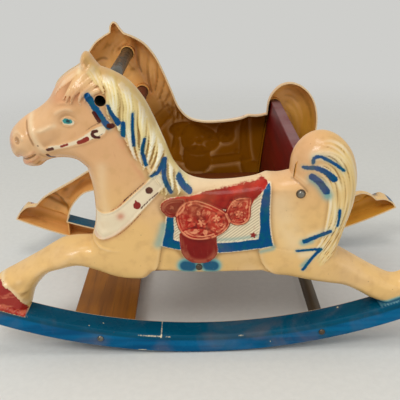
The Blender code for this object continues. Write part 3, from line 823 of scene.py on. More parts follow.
    def blanket(self, sheet: Sheet) -> None:
        """The saddle blanket with its border and hatching.

        Args:
            sheet: The surface's points.
        """
        front = smooth([(-62, 256), (-66, 230), (-72.5, 202)])
        hem = smooth([(-72.5, 202), (-44, 194.5), (10, 188.5), (54, 191.5), (97.5, 198.5)])
        back = smooth([(97.5, 198.5), (92.5, 225), (90.5, 255), (91, 299)])
        under_saddle = [(83, 300), (62, 268), (-40, 262), (-60, 262)]
        cloth = Line(np.vstack([front[:-1], hem[:-1], back, under_saddle]), True)
        corners = [
            (-51.5, 258), (-51, 233), (-53, 213), (-41, 210), (-15, 205.5), (13, 206.5), (42, 208),
            (73.5, 212), (75.5, 229), (74.5, 253), (76.5, 277), (82, 301), (62, 268), (-40, 262),
        ]
        inner = Line(np.array(corners, float), True)
        depth = sheet.plateau(cloth, 2.0, 2.2)
        within = sheet.depth(inner)
        sheet.relief -= 1.1 * ease(within / 1.4 + 0.5)
        sheet.relief += 0.9 * np.exp(-(within / 1.1) ** 2) * (depth > 0)
        sheet.relief += 0.9 * np.exp(-((depth - 1.4) / 1.1) ** 2)
        border = np.minimum(depth - 1.4, -within - 0.3)
        sheet.paint[Channel.BLUE] = np.maximum(sheet.paint[Channel.BLUE], border)
        sheet.paint[Channel.CREAM] = np.maximum(sheet.paint[Channel.CREAM], depth)
        sheet.paint[Channel.HATCH] = ease(within / 1.5)
        star = [(66 + r * math.sin(a), 218 + r * math.cos(a))
                for a, r in ((math.tau * i / 10 + 0.2, 6.2 if i % 2 == 0 else 3.2) for i in range(10))]
        sheet.fill(Channel.ROSE, Line(np.array(star), True))
        sheet.plateau(Line(np.array(star), True), 0.8, 1.0)

    def saddle(self, sheet: Sheet) -> None:
        """The tooled saddle: seat, horn, skirts and fender.

        Args:
            sheet: The surface's points.
        """
        seat = Line.through(
            (-48, 282), (-36, 283.5), (-22, 284.5), (-8, 286.5), (8, 288.5), (22, 290), (36, 291.5),
            (51, 294), (71, 297.5), (80, 301.5), (86, 300), (82, 292), (74, 284), (66, 274), (58, 262),
            (20, 262), (-20, 262), (-46, 266), closed=True)
        horn = Line.through(
            (-46, 253), (-59, 252), (-66, 258), (-70, 267), (-66, 275), (-58, 280), (-46, 282), (-34, 280),
            (-36, 262), closed=True)
        fender = Line.through(
            (-42, 225), (-43.5, 212), (-42.5, 198), (-40, 186), (-30, 175.5), (-16, 172), (-2, 174), (8, 181),
            (12.5, 192), (11.5, 206), (9, 222), (-16, 232), closed=True)
        rear_skirt = Line.through(
            (31, 240), (25, 252), (28, 266), (36, 277), (50, 281), (62, 279), (61.5, 262), (60.5, 247),
            (55, 238.5), (42, 235), closed=True)
        disc = Line.through(
            (-48, 258), (-44, 266), (-34, 275), (-19, 278.5), (-4, 274), (12, 266), (26, 256), (31, 246),
            (30, 234), (22, 224), (8, 216), (-10, 212.5), (-28, 215), (-41, 225), (-47, 240), closed=True)
        sheet.fill(Channel.RED, seat, 1.0, 4.5)
        for part in (seat, horn, fender, rear_skirt, disc):
            covered = sheet.depth(part)
            sheet.relief += ease(covered / 3.0 + 0.5) * (1.6 - sheet.relief)
            for channel in (Channel.BLUE, Channel.CREAM):
                np.minimum(sheet.paint[channel], -covered - 0.2, out=sheet.paint[channel])
        depth = sheet.plateau(fender, 1.4, 2.0, 1.2)
        self._tool(sheet, fender, depth, ((3.0, -0.5),), 0.28)
        for x in (-32, -22, -10, 0):
            sheet.ridge([(x, 212), (x - 2, 198), (x * 0.8 - 3, 183)], 1.3, 0.45, 0.3)
        depth = sheet.plateau(rear_skirt, 1.4, 2.0, 0.6)
        self._tool(sheet, rear_skirt, depth, ((1.8, 0.7), (4.4, -0.9), (6.4, 0.4)))
        depth = sheet.plateau(horn, 1.6, 2.0, 0.8)
        self._tool(sheet, horn, depth, ((2.0, 0.3), (4.2, -0.8), (6.2, 0.3), (8.2, -0.6)), 0.32)
        depth = sheet.plateau(disc, 1.6, 2.0, 0.8)
        self._tool(sheet, disc, depth, ((1.6, 0.7), (4.2, -1.0), (6.4, 0.4), (8.8, -0.8)))
        for i in range(6):
            x, z = -36 + 2.6 * i, 248 + 3.4 * i
            sheet.ridge([(x, z), (x - 3, z + 9), (x + 6, z + 15)], 1.3, 0.8, 0.3)
        for x, z, size, petals, turn in (
            (-11, 241, 10.5, 5, 0.3), (11, 248, 9.0, 5, 1.0), (45, 254, 9.5, 5, 1.4),
            (37.5, 271, 7.5, 5, 0.4), (-53, 267, 4.5, 4, 0.6),
        ):
            for i in range(petals):
                angle = turn + math.tau * i / petals
                tip = (x + size * math.cos(angle), z + size * math.sin(angle))
                self._petal(sheet, (x, z), tip, size * 0.46, 1.3)
            sheet.bump(x, z, 2.2, 2.2, 1.2)
        for root, tip, width in (
            ((-20, 241), (-34, 234), 4.2), ((-14, 230), (-27, 223), 4.0), ((-6, 231), (-5, 219), 4.0),
            ((3, 235), (13, 224), 4.2), ((-2, 252), (2, 264), 4.0), ((-14, 252), (-16, 263), 3.8),
            ((14, 239), (25, 235), 3.6), ((39, 248), (34, 240), 2.8), ((52, 247), (56, 241), 2.6),
            ((54, 262), (58, 270), 2.8), ((-24, 246), (-34, 247), 3.4), ((2, 244), (4, 254), 3.2),
            ((-22, 233), (-18, 226), 3.2), ((7, 240), (16, 232), 3.4), ((20, 250), (24, 243), 2.8),
            ((44, 264), (48, 274), 3.4), ((35, 258), (31, 250), 2.8), ((-8, 254), (-6, 264), 3.4),
            ((10, 226), (16, 228), 2.8),
        ):
            self._petal(sheet, root, tip, width, 1.2)
        for line in (((-30, 229), (-18, 221), (-3, 217), (12, 220)), ((22, 256), (27, 246), (25, 236)),
                     ((-24, 262), (-14, 268), (-2, 267), (8, 261)), ((-27, 243), (-25, 252), (-18, 258)),
                     ((0, 228), (8, 232), (18, 230), (24, 236)), ((-38, 238), (-32, 228), (-22, 224))):
            sheet.ridge(line, 1.2, 0.7, 0.2)
        for x in (-33, 2):
            sheet.spray(Channel.BLUE_MIST, Line.through((x - 4, 167), (x + 4, 166), step=4), 10.0, 1.4)
        for x in (-32, 5):
            corners = ((x - 11, 173), (x + 10, 172), (x + 12, 164), (x + 8, 157), (x - 10, 157))
            sheet.plateau(Line.through(*corners, closed=True), 0.9, 2.0)

    def _tool(self, sheet: Sheet, line: Line, depth: Array, rings: Sequence[tuple[float, float]],
              highlight_share: float = 1.0) -> None:
        """Paints a leather part red and lays rounds of ridges and grooves along its edge.

        Args:
            sheet: The surface's points.
            line: The part's outline.
            depth: The points' distances into it.
            rings: The distance from the edge and the height of each ridge or groove.
            highlight_share: How far its tooling takes painted highlights and paler patches, from 0 to 1; low
                values leave it darker red.
        """
        sheet.fill(Channel.RED, line, 1.3, 1.2)
        for reach, height in rings:
            sheet.relief += height * np.exp(-((depth - reach) / 0.95) ** 2)
        sheet.paint[Channel.TOOLED] = np.maximum(sheet.paint[Channel.TOOLED], highlight_share * ease(depth / 2.0))

    def _petal(self, sheet: Sheet, root: Point, tip: Point, width: float, height: float) -> None:
        """A tooled petal or leaf with a vein.

        Args:
            sheet: The surface's points.
            root: Where it grows from.
            tip: Where it ends.
            width: Half its width.
            height: How far it stands out.
        """
        axis = np.array(tip, float) - np.array(root, float)
        length = float(np.hypot(*axis))
        rel = sheet.at - np.array(root, float)
        along = rel @ axis / length ** 2
        side = (axis[0] * rel[:, 1] - axis[1] * rel[:, 0]) / length
        half = width * np.sin(np.pi * np.clip(along, 0.0, 1.0) ** 0.75) + 0.05
        s = np.abs(side) / half
        inside = (along > 0.0) & (along < 1.0) & (s < 1.0)
        rise = height * (1.0 - s ** 3) - 0.7 * height * np.exp(-(side / 0.7) ** 2)
        edge = -0.5 * height * np.exp(-((s - 1.15) / 0.2) ** 2) * (along > 0.05) * (along < 1.0)
        sheet.relief += np.where(inside, rise, edge)

    def mane(self, sheet: Sheet) -> None:
        """Forelock and mane, as overlapping locks.

        Args:
            sheet: The surface's points.
        """
        sheet.open_layer()
        crest = [
            ([(-160, 470), (-154, 464), (-148, 456), (-142, 446), (-137, 434)], 7.0, 3.2, 3, 0.7),
            ([(-140, 464), (-131, 450), (-126, 438), (-124, 424), (-125, 410), (-123, 395), (-119, 382)], 9.4,
             4.2, 4, 1.0),
            ([(-120, 456), (-111, 441), (-107, 429), (-105, 416), (-107, 404), (-108, 392), (-107, 375),
             (-105, 357), (-101, 341)], 8.6, 4.2, 4, 1.0),
            ([(-104, 446), (-96, 433), (-90, 423), (-88, 411), (-89, 392), (-89, 375), (-92, 359),
             (-95, 346)], 7.2, 4.0, 3, 1.0),
            ([(-92, 432), (-84, 414), (-79, 402), (-77, 389), (-76, 371), (-80, 353), (-85, 338), (-91, 326)],
             6.4, 3.8, 3, 1.0),
            ([(-82, 408), (-74, 393), (-68, 380), (-64.5, 365), (-66, 350), (-71, 336), (-78, 324),
             (-84, 315)], 6.6, 3.8, 3, 1.0),
            ([(-72, 384), (-63, 366), (-56, 350), (-51.5, 332), (-53, 315), (-51, 299), (-54, 288)], 6.0, 3.6,
             3, 1.0),
            ([(-62, 356), (-52, 340), (-44, 325), (-37, 313), (-32, 304), (-31, 295)], 5.4, 3.2, 3, 0.9),
            ([(-50, 334), (-40, 320), (-28, 310), (-14, 303), (2, 299.5), (18, 299)], 4.2, 2.2, 2, 0.5),
        ]
        for points, width, height, strands, paint in crest:
            sheet.lock(Line.through(*points), width, height, strands, 0.3, paint)
        for (first, width, height, _, _), (second, _, _, _, _) in zip(crest[1:], crest[2:]):
            share = np.linspace(0.12, 0.92, 7)
            ways = [Line.through(*points).points for points in (first, second)]
            middle = sum(way[(share * (len(way) - 1)).astype(int)] for way in ways) / 2
            sheet.lock(Line(smooth(middle.tolist(), 2.5)), width * 0.62, height * 0.62, 2, 0.3, 0.9)
        whole = Line.through(
            (-150, 458), (-134, 440), (-136, 412), (-122, 384), (-112, 352), (-98, 328), (-84, 304),
            (-66, 284), (-34, 288), (-28, 300), (-46, 324), (-60, 356), (-74, 392), (-92, 428), (-118, 452),
            closed=True)
        sheet.fill(Channel.WHEAT, whole, 0.72, 7.0)
        wisps = [
            [(-120, 400), (-117, 386), (-113, 372), (-110, 360)],
            [(-111, 382), (-108, 366), (-103, 348), (-98, 336)],
            [(-100, 372), (-97, 353), (-94, 338), (-91, 324)],
            [(-86, 342), (-83, 326), (-76, 312), (-70, 301)],
            [(-74, 330), (-70, 314), (-66, 300), (-67, 288)],
            [(-60, 318), (-62, 304), (-60, 290), (-64, 279)],
            [(-46, 312), (-43, 300), (-42, 290), (-46, 281)], [(-40, 306), (-36, 297), (-34, 288)],
            [(-134, 440), (-133, 424), (-135, 412), (-133, 400)],
        ]
        for points in wisps:
            sheet.lock(Line.through(*points), 2.8, 2.2, 2, 0.2, 0.7)
        forelock = [
            ([(-152, 466), (-164, 459), (-176, 449), (-186, 438), (-195, 427)], 5.6),
            ([(-158, 470), (-172, 464), (-187, 453), (-200, 441), (-208, 431)], 5.0),
            ([(-150, 458), (-162, 450), (-173, 441), (-181, 431), (-184, 421)], 5.4),
            ([(-146, 450), (-157, 443), (-167, 435), (-172, 427), (-171, 419)], 5.0),
            ([(-142, 441), (-152, 437), (-161, 431), (-166, 424)], 4.0),
            ([(-168, 448), (-179, 440), (-188, 430), (-190, 421)], 3.0),
        ]
        for points, width in forelock:
            sheet.lock(Line.through(*points), width, 2.8, 3, 0.2, 0.22)
        sheet.close_layer()
        # A painted highlight along the top of the back, by the seat.
        ridge = Line.through((-40, 309), (-10, 297), (20, 298), (60, 304), (80, 312))
        sheet.spray(Channel.PALE, ridge, 12.0, 0.7)

    def tail(self, sheet: Sheet) -> None:
        """The tail, as fine strands that sweep over the hump and down the thigh.

        Args:
            sheet: The surface's points.
        """
        sheet.open_layer()
        crown, heart = np.array([150.0, 352.0]), np.array([150.0, 300.0])
        way = np.array([(0, 0), (18, 6), (38, -2), (55, -22), (65, -50), (67, -82), (62, -112), (52, -140),
                        (38, -166), (20, -190)], float)
        for i in range(15):
            share = i / 14
            start = crown + (heart - crown) * share
            inward = way * np.array([1.0 - 0.58 * share, 1.0 - 0.42 * share])
            wave = 1.6 * np.sin(np.arange(len(way)) * 1.1 + 1.7 * i)
            line = Line(smooth((start + inward + np.column_stack([wave, 0.4 * wave])).tolist(), 2.5))
            sheet.lock(line, 3.1, 2.3 + 0.6 * math.sin(2.3 * i), 1, 0.45, 0.5)
        sheet.close_layer()
        for points, reach, amount in (
            (((150, 340), (168, 342), (190, 330)), 6, 0.7), (((160, 322), (176, 312), (190, 292)), 6, 0.7),
            (((176, 276), (184, 256), (186, 236)), 5, 0.6), (((150, 214), (170, 222), (188, 232)), 6, 0.55),
            (((140, 183), (158, 186), (172, 196)), 7, 0.6),
        ):
            sheet.spray(Channel.PALE, points, reach, amount)

    def brushwork(self, sheet: Sheet) -> None:
        """The brush strokes over the mane, tail, face and straps.

        Args:
            sheet: The surface's points.
        """
        dark, rose = Channel.DARK, Channel.ROSE
        blue, mist = Channel.BLUE, Channel.BLUE_MIST
        for points, start, end in (
            (((-160, 432), (-153, 419), (-145, 404), (-135, 390)), 5.0, 4.6),
            (((-133.5, 419), (-129, 408), (-122, 396)), 2.4, 4.4), (((-114.5, 394), (-116, 378)), 3.6, 3.6),
            (((-101, 407), (-102.5, 386), (-102, 363)), 1.9, 2.6),
            (((-87, 371), (-91, 354), (-87, 334)), 2.2, 3.0),
            (((-81, 316), (-71, 322), (-62, 336)), 2.0, 4.0),
            (((-62, 335), (-62, 311), (-54, 291)), 3.4, 3.2),
            (((-43, 309), (-36, 298), (-27, 290)), 3.4, 4.2),
            (((149, 330), (150, 337), (158, 339), (166, 336), (178, 329), (193, 318)), 2.6, 2.2),
            (((137, 322), (152, 322), (166, 317), (180, 305)), 2.8, 5.0),
            (((148, 309), (158, 302), (170, 286)), 4.6, 5.4),
            (((191.5, 256), (191.5, 243), (190, 231)), 2.4, 2.0),
            (((143, 206), (160, 213), (180, 222)), 3.8, 2.8),
            (((132, 190), (150, 191.5), (168, 192.5)), 2.0, 2.4),
            (((168, 192.5), (157, 179), (143, 157)), 2.6, 2.6),
        ):
            line = Line.through(*points)
            sheet.stroke(blue, line, start, end)
            sheet.spray(mist, line, start + 2.6, 0.30)
        for row in (
            (mist, [(150, 306), (160, 298), (172, 280)], 9.0, 0.5),
            (mist, [(141, 204), (152, 207)], 7.0, 0.45), (mist, [(143, 164), (150, 172)], 6.0, 0.4),
            (mist, [(-66, 236), (-71, 220), (-76, 206)], 9.5, 0.36),
            (mist, [(86, 206), (97, 196), (78, 190)], 4.5, 0.35),
            (mist, [(6, 211), (40, 212), (72, 216)], 4.0, 0.30),
        ):
            sheet.spray(*row)
        edge = RAIL_HEIGHT - 2.8
        for (x0, r0), (x1, r1), width in (
            ((-80, 33), (-80, edge - 1.5), 1.3), ((-81, edge), (-118, edge), 0.8),
            ((-72, edge), (-64, edge), 0.7), ((-118, 2.0), (-106, 3.5), 1.5), ((-105, 1.0), (-92, 1.5), 0.8),
            ((46, edge), (53, edge), 0.8), ((250, 2), (256, 1), 1.0),
        ):
            sheet.stroke(Channel.CHIP, [runner(x0, r0), runner(x1, r1)], width, width * 0.7)
        for row in (
            (dark, [(-153.5, 409), (-147.5, 398)], 3.0, 3.0), (dark, [(-134, 391), (-130, 391)], 3.8),
            (dark, [(-152, 384), (-157, 383), (-158, 378), (-153.5, 375.5)], 2.4, 2.2),
            (dark, [(-153.5, 375.5), (-149, 375)], 1.8),
            (rose, [(-178, 368.5), (-171, 371.0), (-166, 373.5)], 2.8, 3.4),
            (rose, [(-203, 363.0), (-194, 366.0)], 1.7, 1.6),
            (dark, [(-223, 357.5), (-216, 359.5)], 2.4, 2.4),
            (dark, [(-226, 348), (-224, 343.5), (-218, 342)], 2.4, 1.6),
            (dark, [(-236.2, 364.2), (-235.8, 363.8)], 1.1),
            (Channel.CREAM, [(-194, 397.8), (-186.0, 396.2)], 4.4, 4.0),
            (Channel.TEAL, [(-193.5, 398.4), (-187.5, 397.4)], 3.9, 3.1),
            (Channel.PUPIL, [(-191.0, 398.8), (-189.2, 398.2)], 2.1, 1.8),
        ):
            sheet.stroke(*row)


# ---------------------------------------------------------------- finishes
def srgb(red: float, green: float, blue: float) -> Colour:
    """The linear colour that a shader wants, from parts of 0 to 255."""
    return tuple(
        ((v / 255 / 12.92) if v < 10.3 else ((v / 255 + 0.055) / 1.055) ** 2.4 for v in (red, green, blue)))


class Nodes:
    """Writes a node tree with short calls.

    Attributes:
        tree: The tree.
    """

    def __init__(self, tree: bpy.types.NodeTree) -> None:
        """Takes the tree that is written."""
        self.tree = tree

    def add(self, kind: str, inputs: dict | None = None, **settings: object) -> bpy.types.Node:
        """Adds a node.

        Args:
            kind: The node's type, without the leading ShaderNode.
            inputs: Values or sockets for its inputs, by name or number.
            **settings: Its own properties.

        Returns:
            The node.
        """
        node = self.tree.nodes.new("ShaderNode" + kind)
        for key, value in settings.items():
            setattr(node, key, value)
        for key, value in (inputs or {}).items():
            self.put(node.inputs[key], value)
        return node

    def put(self, socket: Socket, value: object) -> None:
        """Links a socket to an input, or sets the input's value.

        Args:
            socket: The input.
            value: A socket, a number or a colour.
        """
        if isinstance(value, Socket):
            self.tree.links.new(value, socket)
        elif isinstance(value, tuple) and socket.type == "RGBA":
            socket.default_value = (*value[:3], 1.0)
        else:
            socket.default_value = value

    def value(self, channel: Channel) -> Socket:
        """The socket with the value of one of a side's channels."""
        return self.add("Attribute", attribute_name=channel.value).outputs["Fac"]

    def math(self, operation: str, *values: object, clamp: bool = False) -> Socket:
        """The result of an operation on sockets or numbers, kept between 0 and 1 where asked."""
        return self.add("Math", dict(enumerate(values)), operation=operation, use_clamp=clamp).outputs[0]

    def times(self, *values: object, clamp: bool = False) -> Socket:
        """Two sockets or numbers multiplied."""
        return self.math("MULTIPLY", *values, clamp=clamp)

    def place(self) -> bpy.types.NodeOutputs:
        """The X, Y and Z of the place on the object, as sockets."""
        return self.add("SeparateXYZ", {0: self.add("TexCoord").outputs["Object"]}).outputs

    def step(self, value: object, low: float, high: float) -> Socket:
        """A smooth step of a value, from 0 at low to 1 at high."""
        inputs = {"Value": value, "From Min": low, "From Max": high}
        return self.add("MapRange", inputs, interpolation_type="SMOOTHSTEP").outputs["Result"]

    def noise(self, scale: float, detail: float = 3.0, stretch: Place | None = None,
              distortion: float = 0.0) -> Socket:
        """Noise over the object's own coordinates.

        Args:
            scale: How fine it is.
            detail: How many finer layers it has.
            stretch: How much finer it is along each axis.
            distortion: How much it swirls.

        Returns:
            A socket with values around one half.
        """
        where = self.add("TexCoord").outputs["Object"]
        if stretch:
            where = self.add("Mapping", {"Vector": where, "Scale": stretch}).outputs[0]
        inputs = {"Vector": where, "Scale": scale, "Detail": detail, "Distortion": distortion}
        return self.add("TexNoise", inputs).outputs["Fac"]

    def mix(self, share: object, first: object, second: object) -> Socket:
        """Mixes two colours.

        Args:
            share: How much of the second.
            first: A colour or its socket.
            second: A colour or its socket.

        Returns:
            The result's socket.
        """
        node = self.add("Mix", data_type="RGBA")
        self.put(node.inputs[0], share)
        self.put(node.inputs[6], first)
        self.put(node.inputs[7], second)
        return node.outputs[2]

    def bump(self, height: object, strength: float, distance: float, normal: object = None) -> Socket:
        """A normal disturbed by a height.

        Args:
            height: The height's socket.
            strength: How strongly it shows.
            distance: The height's scale, in metres.
            normal: A normal that is disturbed further.

        Returns:
            The normal's socket.
        """
        inputs = {"Height": height, "Strength": strength, "Distance": distance}
        if normal is not None:
            inputs["Normal"] = normal
        return self.add("Bump", inputs).outputs[0]

    def finish(self, **inputs: object) -> None:
        """Sets up the tree's Principled shader.

        Args:
            **inputs: Values or sockets by input name, with _ for a space.
        """
        shader = self.tree.nodes["Principled BSDF"]
        for key, value in inputs.items():
            self.put(shader.inputs[key.replace("_", " ")], value)


def new_material(name: str) -> tuple[Material, Nodes]:
    """An empty Principled material.

    Args:
        name: Its name.

    Returns:
        The material and a writer for its nodes.
    """
    material = bpy.data.materials.new(name)
    material.use_nodes = True
    return material, Nodes(material.node_tree)


class Effect:
    """A shader group that several finishes share.

    Attributes:
        group: The node group.
        inner: A writer for the nodes inside it.
        source: The node inside it that has its inputs.
        sink: The node inside it that takes its outputs.
    """

    def __init__(self, name: str, inputs: dict[str, float], outputs: Iterable[str]) -> None:
        """Makes an empty group.

        Args:
            name: Its name.
            inputs: Its inputs with their usual values.
            outputs: Its outputs.
        """
        self.group = bpy.data.node_groups.new(name, "ShaderNodeTree")
        face = self.group.interface
        for key, value in inputs.items():
            face.new_socket(key, in_out="INPUT", socket_type="NodeSocketFloat").default_value = value
        for key in outputs:
            face.new_socket(key, in_out="OUTPUT", socket_type="NodeSocketFloat")
        self.inner = Nodes(self.group)
        self.source = self.group.nodes.new("NodeGroupInput")
        self.sink = self.group.nodes.new("NodeGroupOutput")

    def use(self, nodes: Nodes, output: str, **inputs: object) -> Socket:
        """Puts the group into a tree.

        Args:
            nodes: The tree's writer.
            output: The output that is wanted.
            **inputs: Values or sockets by input name.

        Returns:
            The output's socket.
        """
        node = nodes.add("Group", node_tree=self.group)
        for key, value in inputs.items():
            nodes.put(node.inputs[key], value)
        return node.outputs[output]


class Effects:
    """The effects shared by the finishes: worn edges of paint, and dirt."""

    def __init__(self) -> None:
        """Makes both groups."""
        self.paint = Effect("painted_patch", {"Depth": 0.0, "Ragged": 0.5, "Soft": 0.35}, ["Mask"])
        inner = self.paint.inner
        depth, ragged, soft = (self.paint.source.outputs[k] for k in ("Depth", "Ragged", "Soft"))
        wobble = inner.math("SUBTRACT", inner.noise(420.0, 3.0), 0.5)
        shifted = inner.math("MULTIPLY_ADD", wobble, inner.times(ragged, 4.0), depth)
        scaled = inner.math("DIVIDE", shifted, soft)
        inner.put(self.paint.sink.inputs["Mask"], inner.math("MULTIPLY_ADD", scaled, 0.5, 0.5, clamp=True))

        self.dirt = Effect("dirt", {"Amount": 0.5}, ["Specks", "Smudge"])
        inner = self.dirt.inner
        where = inner.add("TexCoord").outputs["Object"]
        specks = inner.add("TexVoronoi", {"Vector": where, "Scale": 95.0})
        size = inner.step(specks.outputs["Distance"], 0.085, 0.03)
        rare = inner.step(inner.noise(31.0, 2.0), 0.56, 0.66)
        amount = self.dirt.source.outputs["Amount"]
        inner.put(self.dirt.sink.inputs["Specks"], inner.times(inner.times(size, rare), amount))
        smudge = inner.step(inner.noise(14.0, 6.0, distortion=0.6), 0.46, 0.78)
        inner.put(self.dirt.sink.inputs["Smudge"], inner.times(smudge, amount))


@dataclass(frozen=True)
class SidePaint:
    """The finish of a moulded side: tan plastic, sprayed and brushed with paint outside, bare inside.

    Attributes:
        tan: The plastic on the body and legs.
        flesh: The pinker plastic of the head and neck.
        wheat: The cream-yellow spray of mane and tail.
        blue: The brushed blue.
        red: The saddle's red.
        cream: Straps and blanket.
        dark: The darkest red marks.
        rose: The paler red marks.
        inside: The bare plastic inside.
    """

    tan: Colour = srgb(238, 194, 124)
    flesh: Colour = srgb(228, 176, 124)
    wheat: Colour = srgb(240, 218, 150)
    blue: Colour = srgb(0, 76, 126)
    red: Colour = srgb(142, 14, 12)
    cream: Colour = srgb(242, 226, 192)
    dark: Colour = srgb(70, 6, 8)
    rose: Colour = srgb(140, 30, 22)
    inside: Colour = srgb(206, 146, 66)

    def make(self, effects: Effects) -> Material:
        """Builds the material.

        Args:
            effects: The shared effects.

        Returns:
            The material.
        """
        material, n = new_material("moulded_and_painted_plastic")
        value = n.value
        cavity = value(Channel.CAVITY)
        colour = self._plastic(n)
        colour = self._hair(n, colour, cavity)
        ochre = n.times(value(Channel.OCHRE), n.step(n.noise(24.0, 5.0), 0.05, 0.5), clamp=True)
        colour = n.mix(n.times(ochre, 0.85), colour, srgb(184, 148, 80))
        cream = effects.paint.use(n, "Mask", Depth=value(Channel.CREAM), Ragged=0.6, Soft=0.8)
        cream = n.times(cream, n.step(n.noise(22.0, 4.0), 0.10, 0.44))
        colour = n.mix(n.times(cream, 0.92), colour, self.cream)
        colour = self._hatch(n, colour)
        blush = n.times(value(Channel.BLUSH), n.step(n.noise(55.0, 4.0), 0.2, 0.6), clamp=True)
        colour = n.mix(n.times(blush, 0.75), colour, srgb(206, 116, 84))
        mist = n.times(value(Channel.BLUE_MIST), n.step(n.noise(260.0, 2.0), 0.0, 0.35), clamp=True)
        colour = n.mix(n.step(mist, 0.0, 0.55), colour, srgb(122, 172, 164))
        colour = n.mix(n.step(mist, 0.4, 0.95), colour, srgb(4, 84, 116))
        colour = self._leather(n, colour, cavity)
        hoof = effects.paint.use(n, "Mask", Depth=value(Channel.HOOF), Ragged=1.6, Soft=0.6)
        worn = n.step(n.noise(48.0, 5.0, (1.0, 1.0, 2.2)), 0.56, 0.72)
        colour = n.mix(hoof, colour, n.mix(worn, srgb(160, 22, 22), srgb(206, 104, 76)))
        rail = value(Channel.RAIL)
        streak = n.noise(34.0, 5.0, (0.22, 1.0, 2.6))
        rail_blue = n.mix(n.step(streak, 0.32, 0.72), srgb(0, 76, 119), srgb(0, 104, 150))
        # Painted shade on the rail's top.
        rail_blue = n.mix(n.times(value(Channel.GROOVE), 0.75), rail_blue, srgb(0, 70, 88))
        colour = n.mix(rail, colour, n.mix(n.step(n.noise(12.0, 3.0), 0.5, 0.8), rail_blue, srgb(0, 88, 110)))
        strokes = n.mix(n.step(n.noise(90.0, 3.0), 0.4, 0.7), self.blue, srgb(0, 90, 116))
        blue = effects.paint.use(n, "Mask", Depth=value(Channel.BLUE), Ragged=0.8, Soft=0.6)
        colour = n.mix(blue, colour, strokes)
        for channel, paint in (
            (Channel.TEAL, srgb(44, 146, 144)), (Channel.PUPIL, srgb(4, 62, 70)), (Channel.ROSE, self.rose),
            (Channel.DARK, self.dark), (Channel.CHIP, srgb(226, 212, 178)),
        ):
            mask = effects.paint.use(n, "Mask", Depth=value(channel), Ragged=0.5, Soft=0.5)
            colour = n.mix(mask, colour, paint)
        chips = n.times(n.step(n.noise(75.0, 5.0), 0.735, 0.75), rail)
        colour = n.mix(chips, colour, srgb(226, 210, 170))
        colour = n.mix(effects.dirt.use(n, "Specks", Amount=0.8), colour, srgb(96, 62, 34))
        colour = n.mix(effects.dirt.use(n, "Smudge", Amount=0.20), colour, srgb(176, 128, 80))
        colour = n.mix(value(Channel.INSIDE), colour, self._bare(n))
        colour = n.mix(value(Channel.RIM), colour, srgb(240, 208, 160))
        rough = n.math("MULTIPLY_ADD", n.noise(35.0, 4.0), 0.16, 0.11)
        rough = n.math("ADD", rough, n.times(n.math("MAXIMUM", blue, rail), 0.08))
        normal = n.bump(n.noise(220.0, 3.0), 0.10, 0.0006)
        normal = n.bump(n.noise(18.0, 4.0), 0.16, 0.004, normal)
        leather = n.times(n.step(value(Channel.RED), 0.22, 0.72), 0.6)
        painted = n.math("MAXIMUM", n.math("MAXIMUM", blue, rail), leather)
        gloss = n.math("MULTIPLY_ADD", painted, -0.28, 0.38)
        n.finish(Base_Color=colour, Roughness=rough, Normal=normal, IOR=1.46, Specular_IOR_Level=gloss)
        return material

    def _plastic(self, n: Nodes) -> Socket:
        """The unpainted plastic with its sprayed tints, painted highlights from the lighter sprays and on
        raised forms, and painted shade in hollows.

        Args:
            n: The writer of the side's nodes.

        Returns:
            The colour's socket.
        """
        where = n.place()
        broad = n.noise(7.0, 4.0)
        fine = n.noise(60.0, 5.0)
        up = n.math("MULTIPLY_ADD", n.math("SUBTRACT", broad, 0.5), 0.12, where["Z"])
        colour = n.mix(n.step(up, 0.20, 0.36), self.tan, self.flesh)
        hump = n.times(n.step(where["X"], 0.13, 0.21), n.step(up, 0.24, 0.33))
        colour = n.mix(n.times(hump, 0.6), colour, srgb(230, 190, 100))
        colour = n.mix(n.times(n.step(broad, 0.50, 0.72), 0.6), colour, srgb(232, 196, 150))
        colour = n.mix(n.times(n.step(fine, 0.45, 0.75), 0.35), colour, srgb(206, 158, 98))
        # The lighter sprays, mostly painted highlights along ridges, folds and tops.
        mottle = n.step(n.noise(24.0, 5.0), 0.05, 0.5)
        pale = n.times(n.value(Channel.PALE), mottle, clamp=True)
        colour = n.mix(pale, colour, srgb(246, 226, 186))
        # Painted shade in hollows and painted highlights on raised forms.
        hollow = n.step(n.value(Channel.CAVITY), -0.15, -1.3)
        colour = n.mix(n.times(hollow, 0.6), colour, srgb(140, 92, 44))
        raised = n.step(n.value(Channel.CAVITY), 0.2, 1.4)
        return n.mix(n.times(raised, 0.35), colour, srgb(244, 214, 170))

    def _hair(self, n: Nodes, colour: Socket, cavity: Socket) -> Socket:
        """Sprayed hair, yellow on the locks, with painted shade making it olive between them and painted
        highlights making it nearly white on their tops.

        Args:
            n: The writer of the side's nodes.
            colour: What is under it.
            cavity: How far each point is raised over what is around it.

        Returns:
            The colour's socket.
        """
        # Painted shade between the locks and painted highlights on their tops.
        shades = n.mix(n.step(cavity, -1.1, 0.1), srgb(162, 128, 58), self.wheat)
        patchy_highlight = n.times(n.step(cavity, 0.1, 1.0), n.step(n.noise(38.0, 3.0, (1.0, 1.0, 0.5)), 0.35, 0.6))
        shades = n.mix(patchy_highlight, shades, srgb(252, 244, 214))
        wheat = n.times(n.value(Channel.WHEAT), n.step(n.noise(26.0, 3.0), 0.10, 0.45), clamp=True)
        return n.mix(wheat, colour, shades)

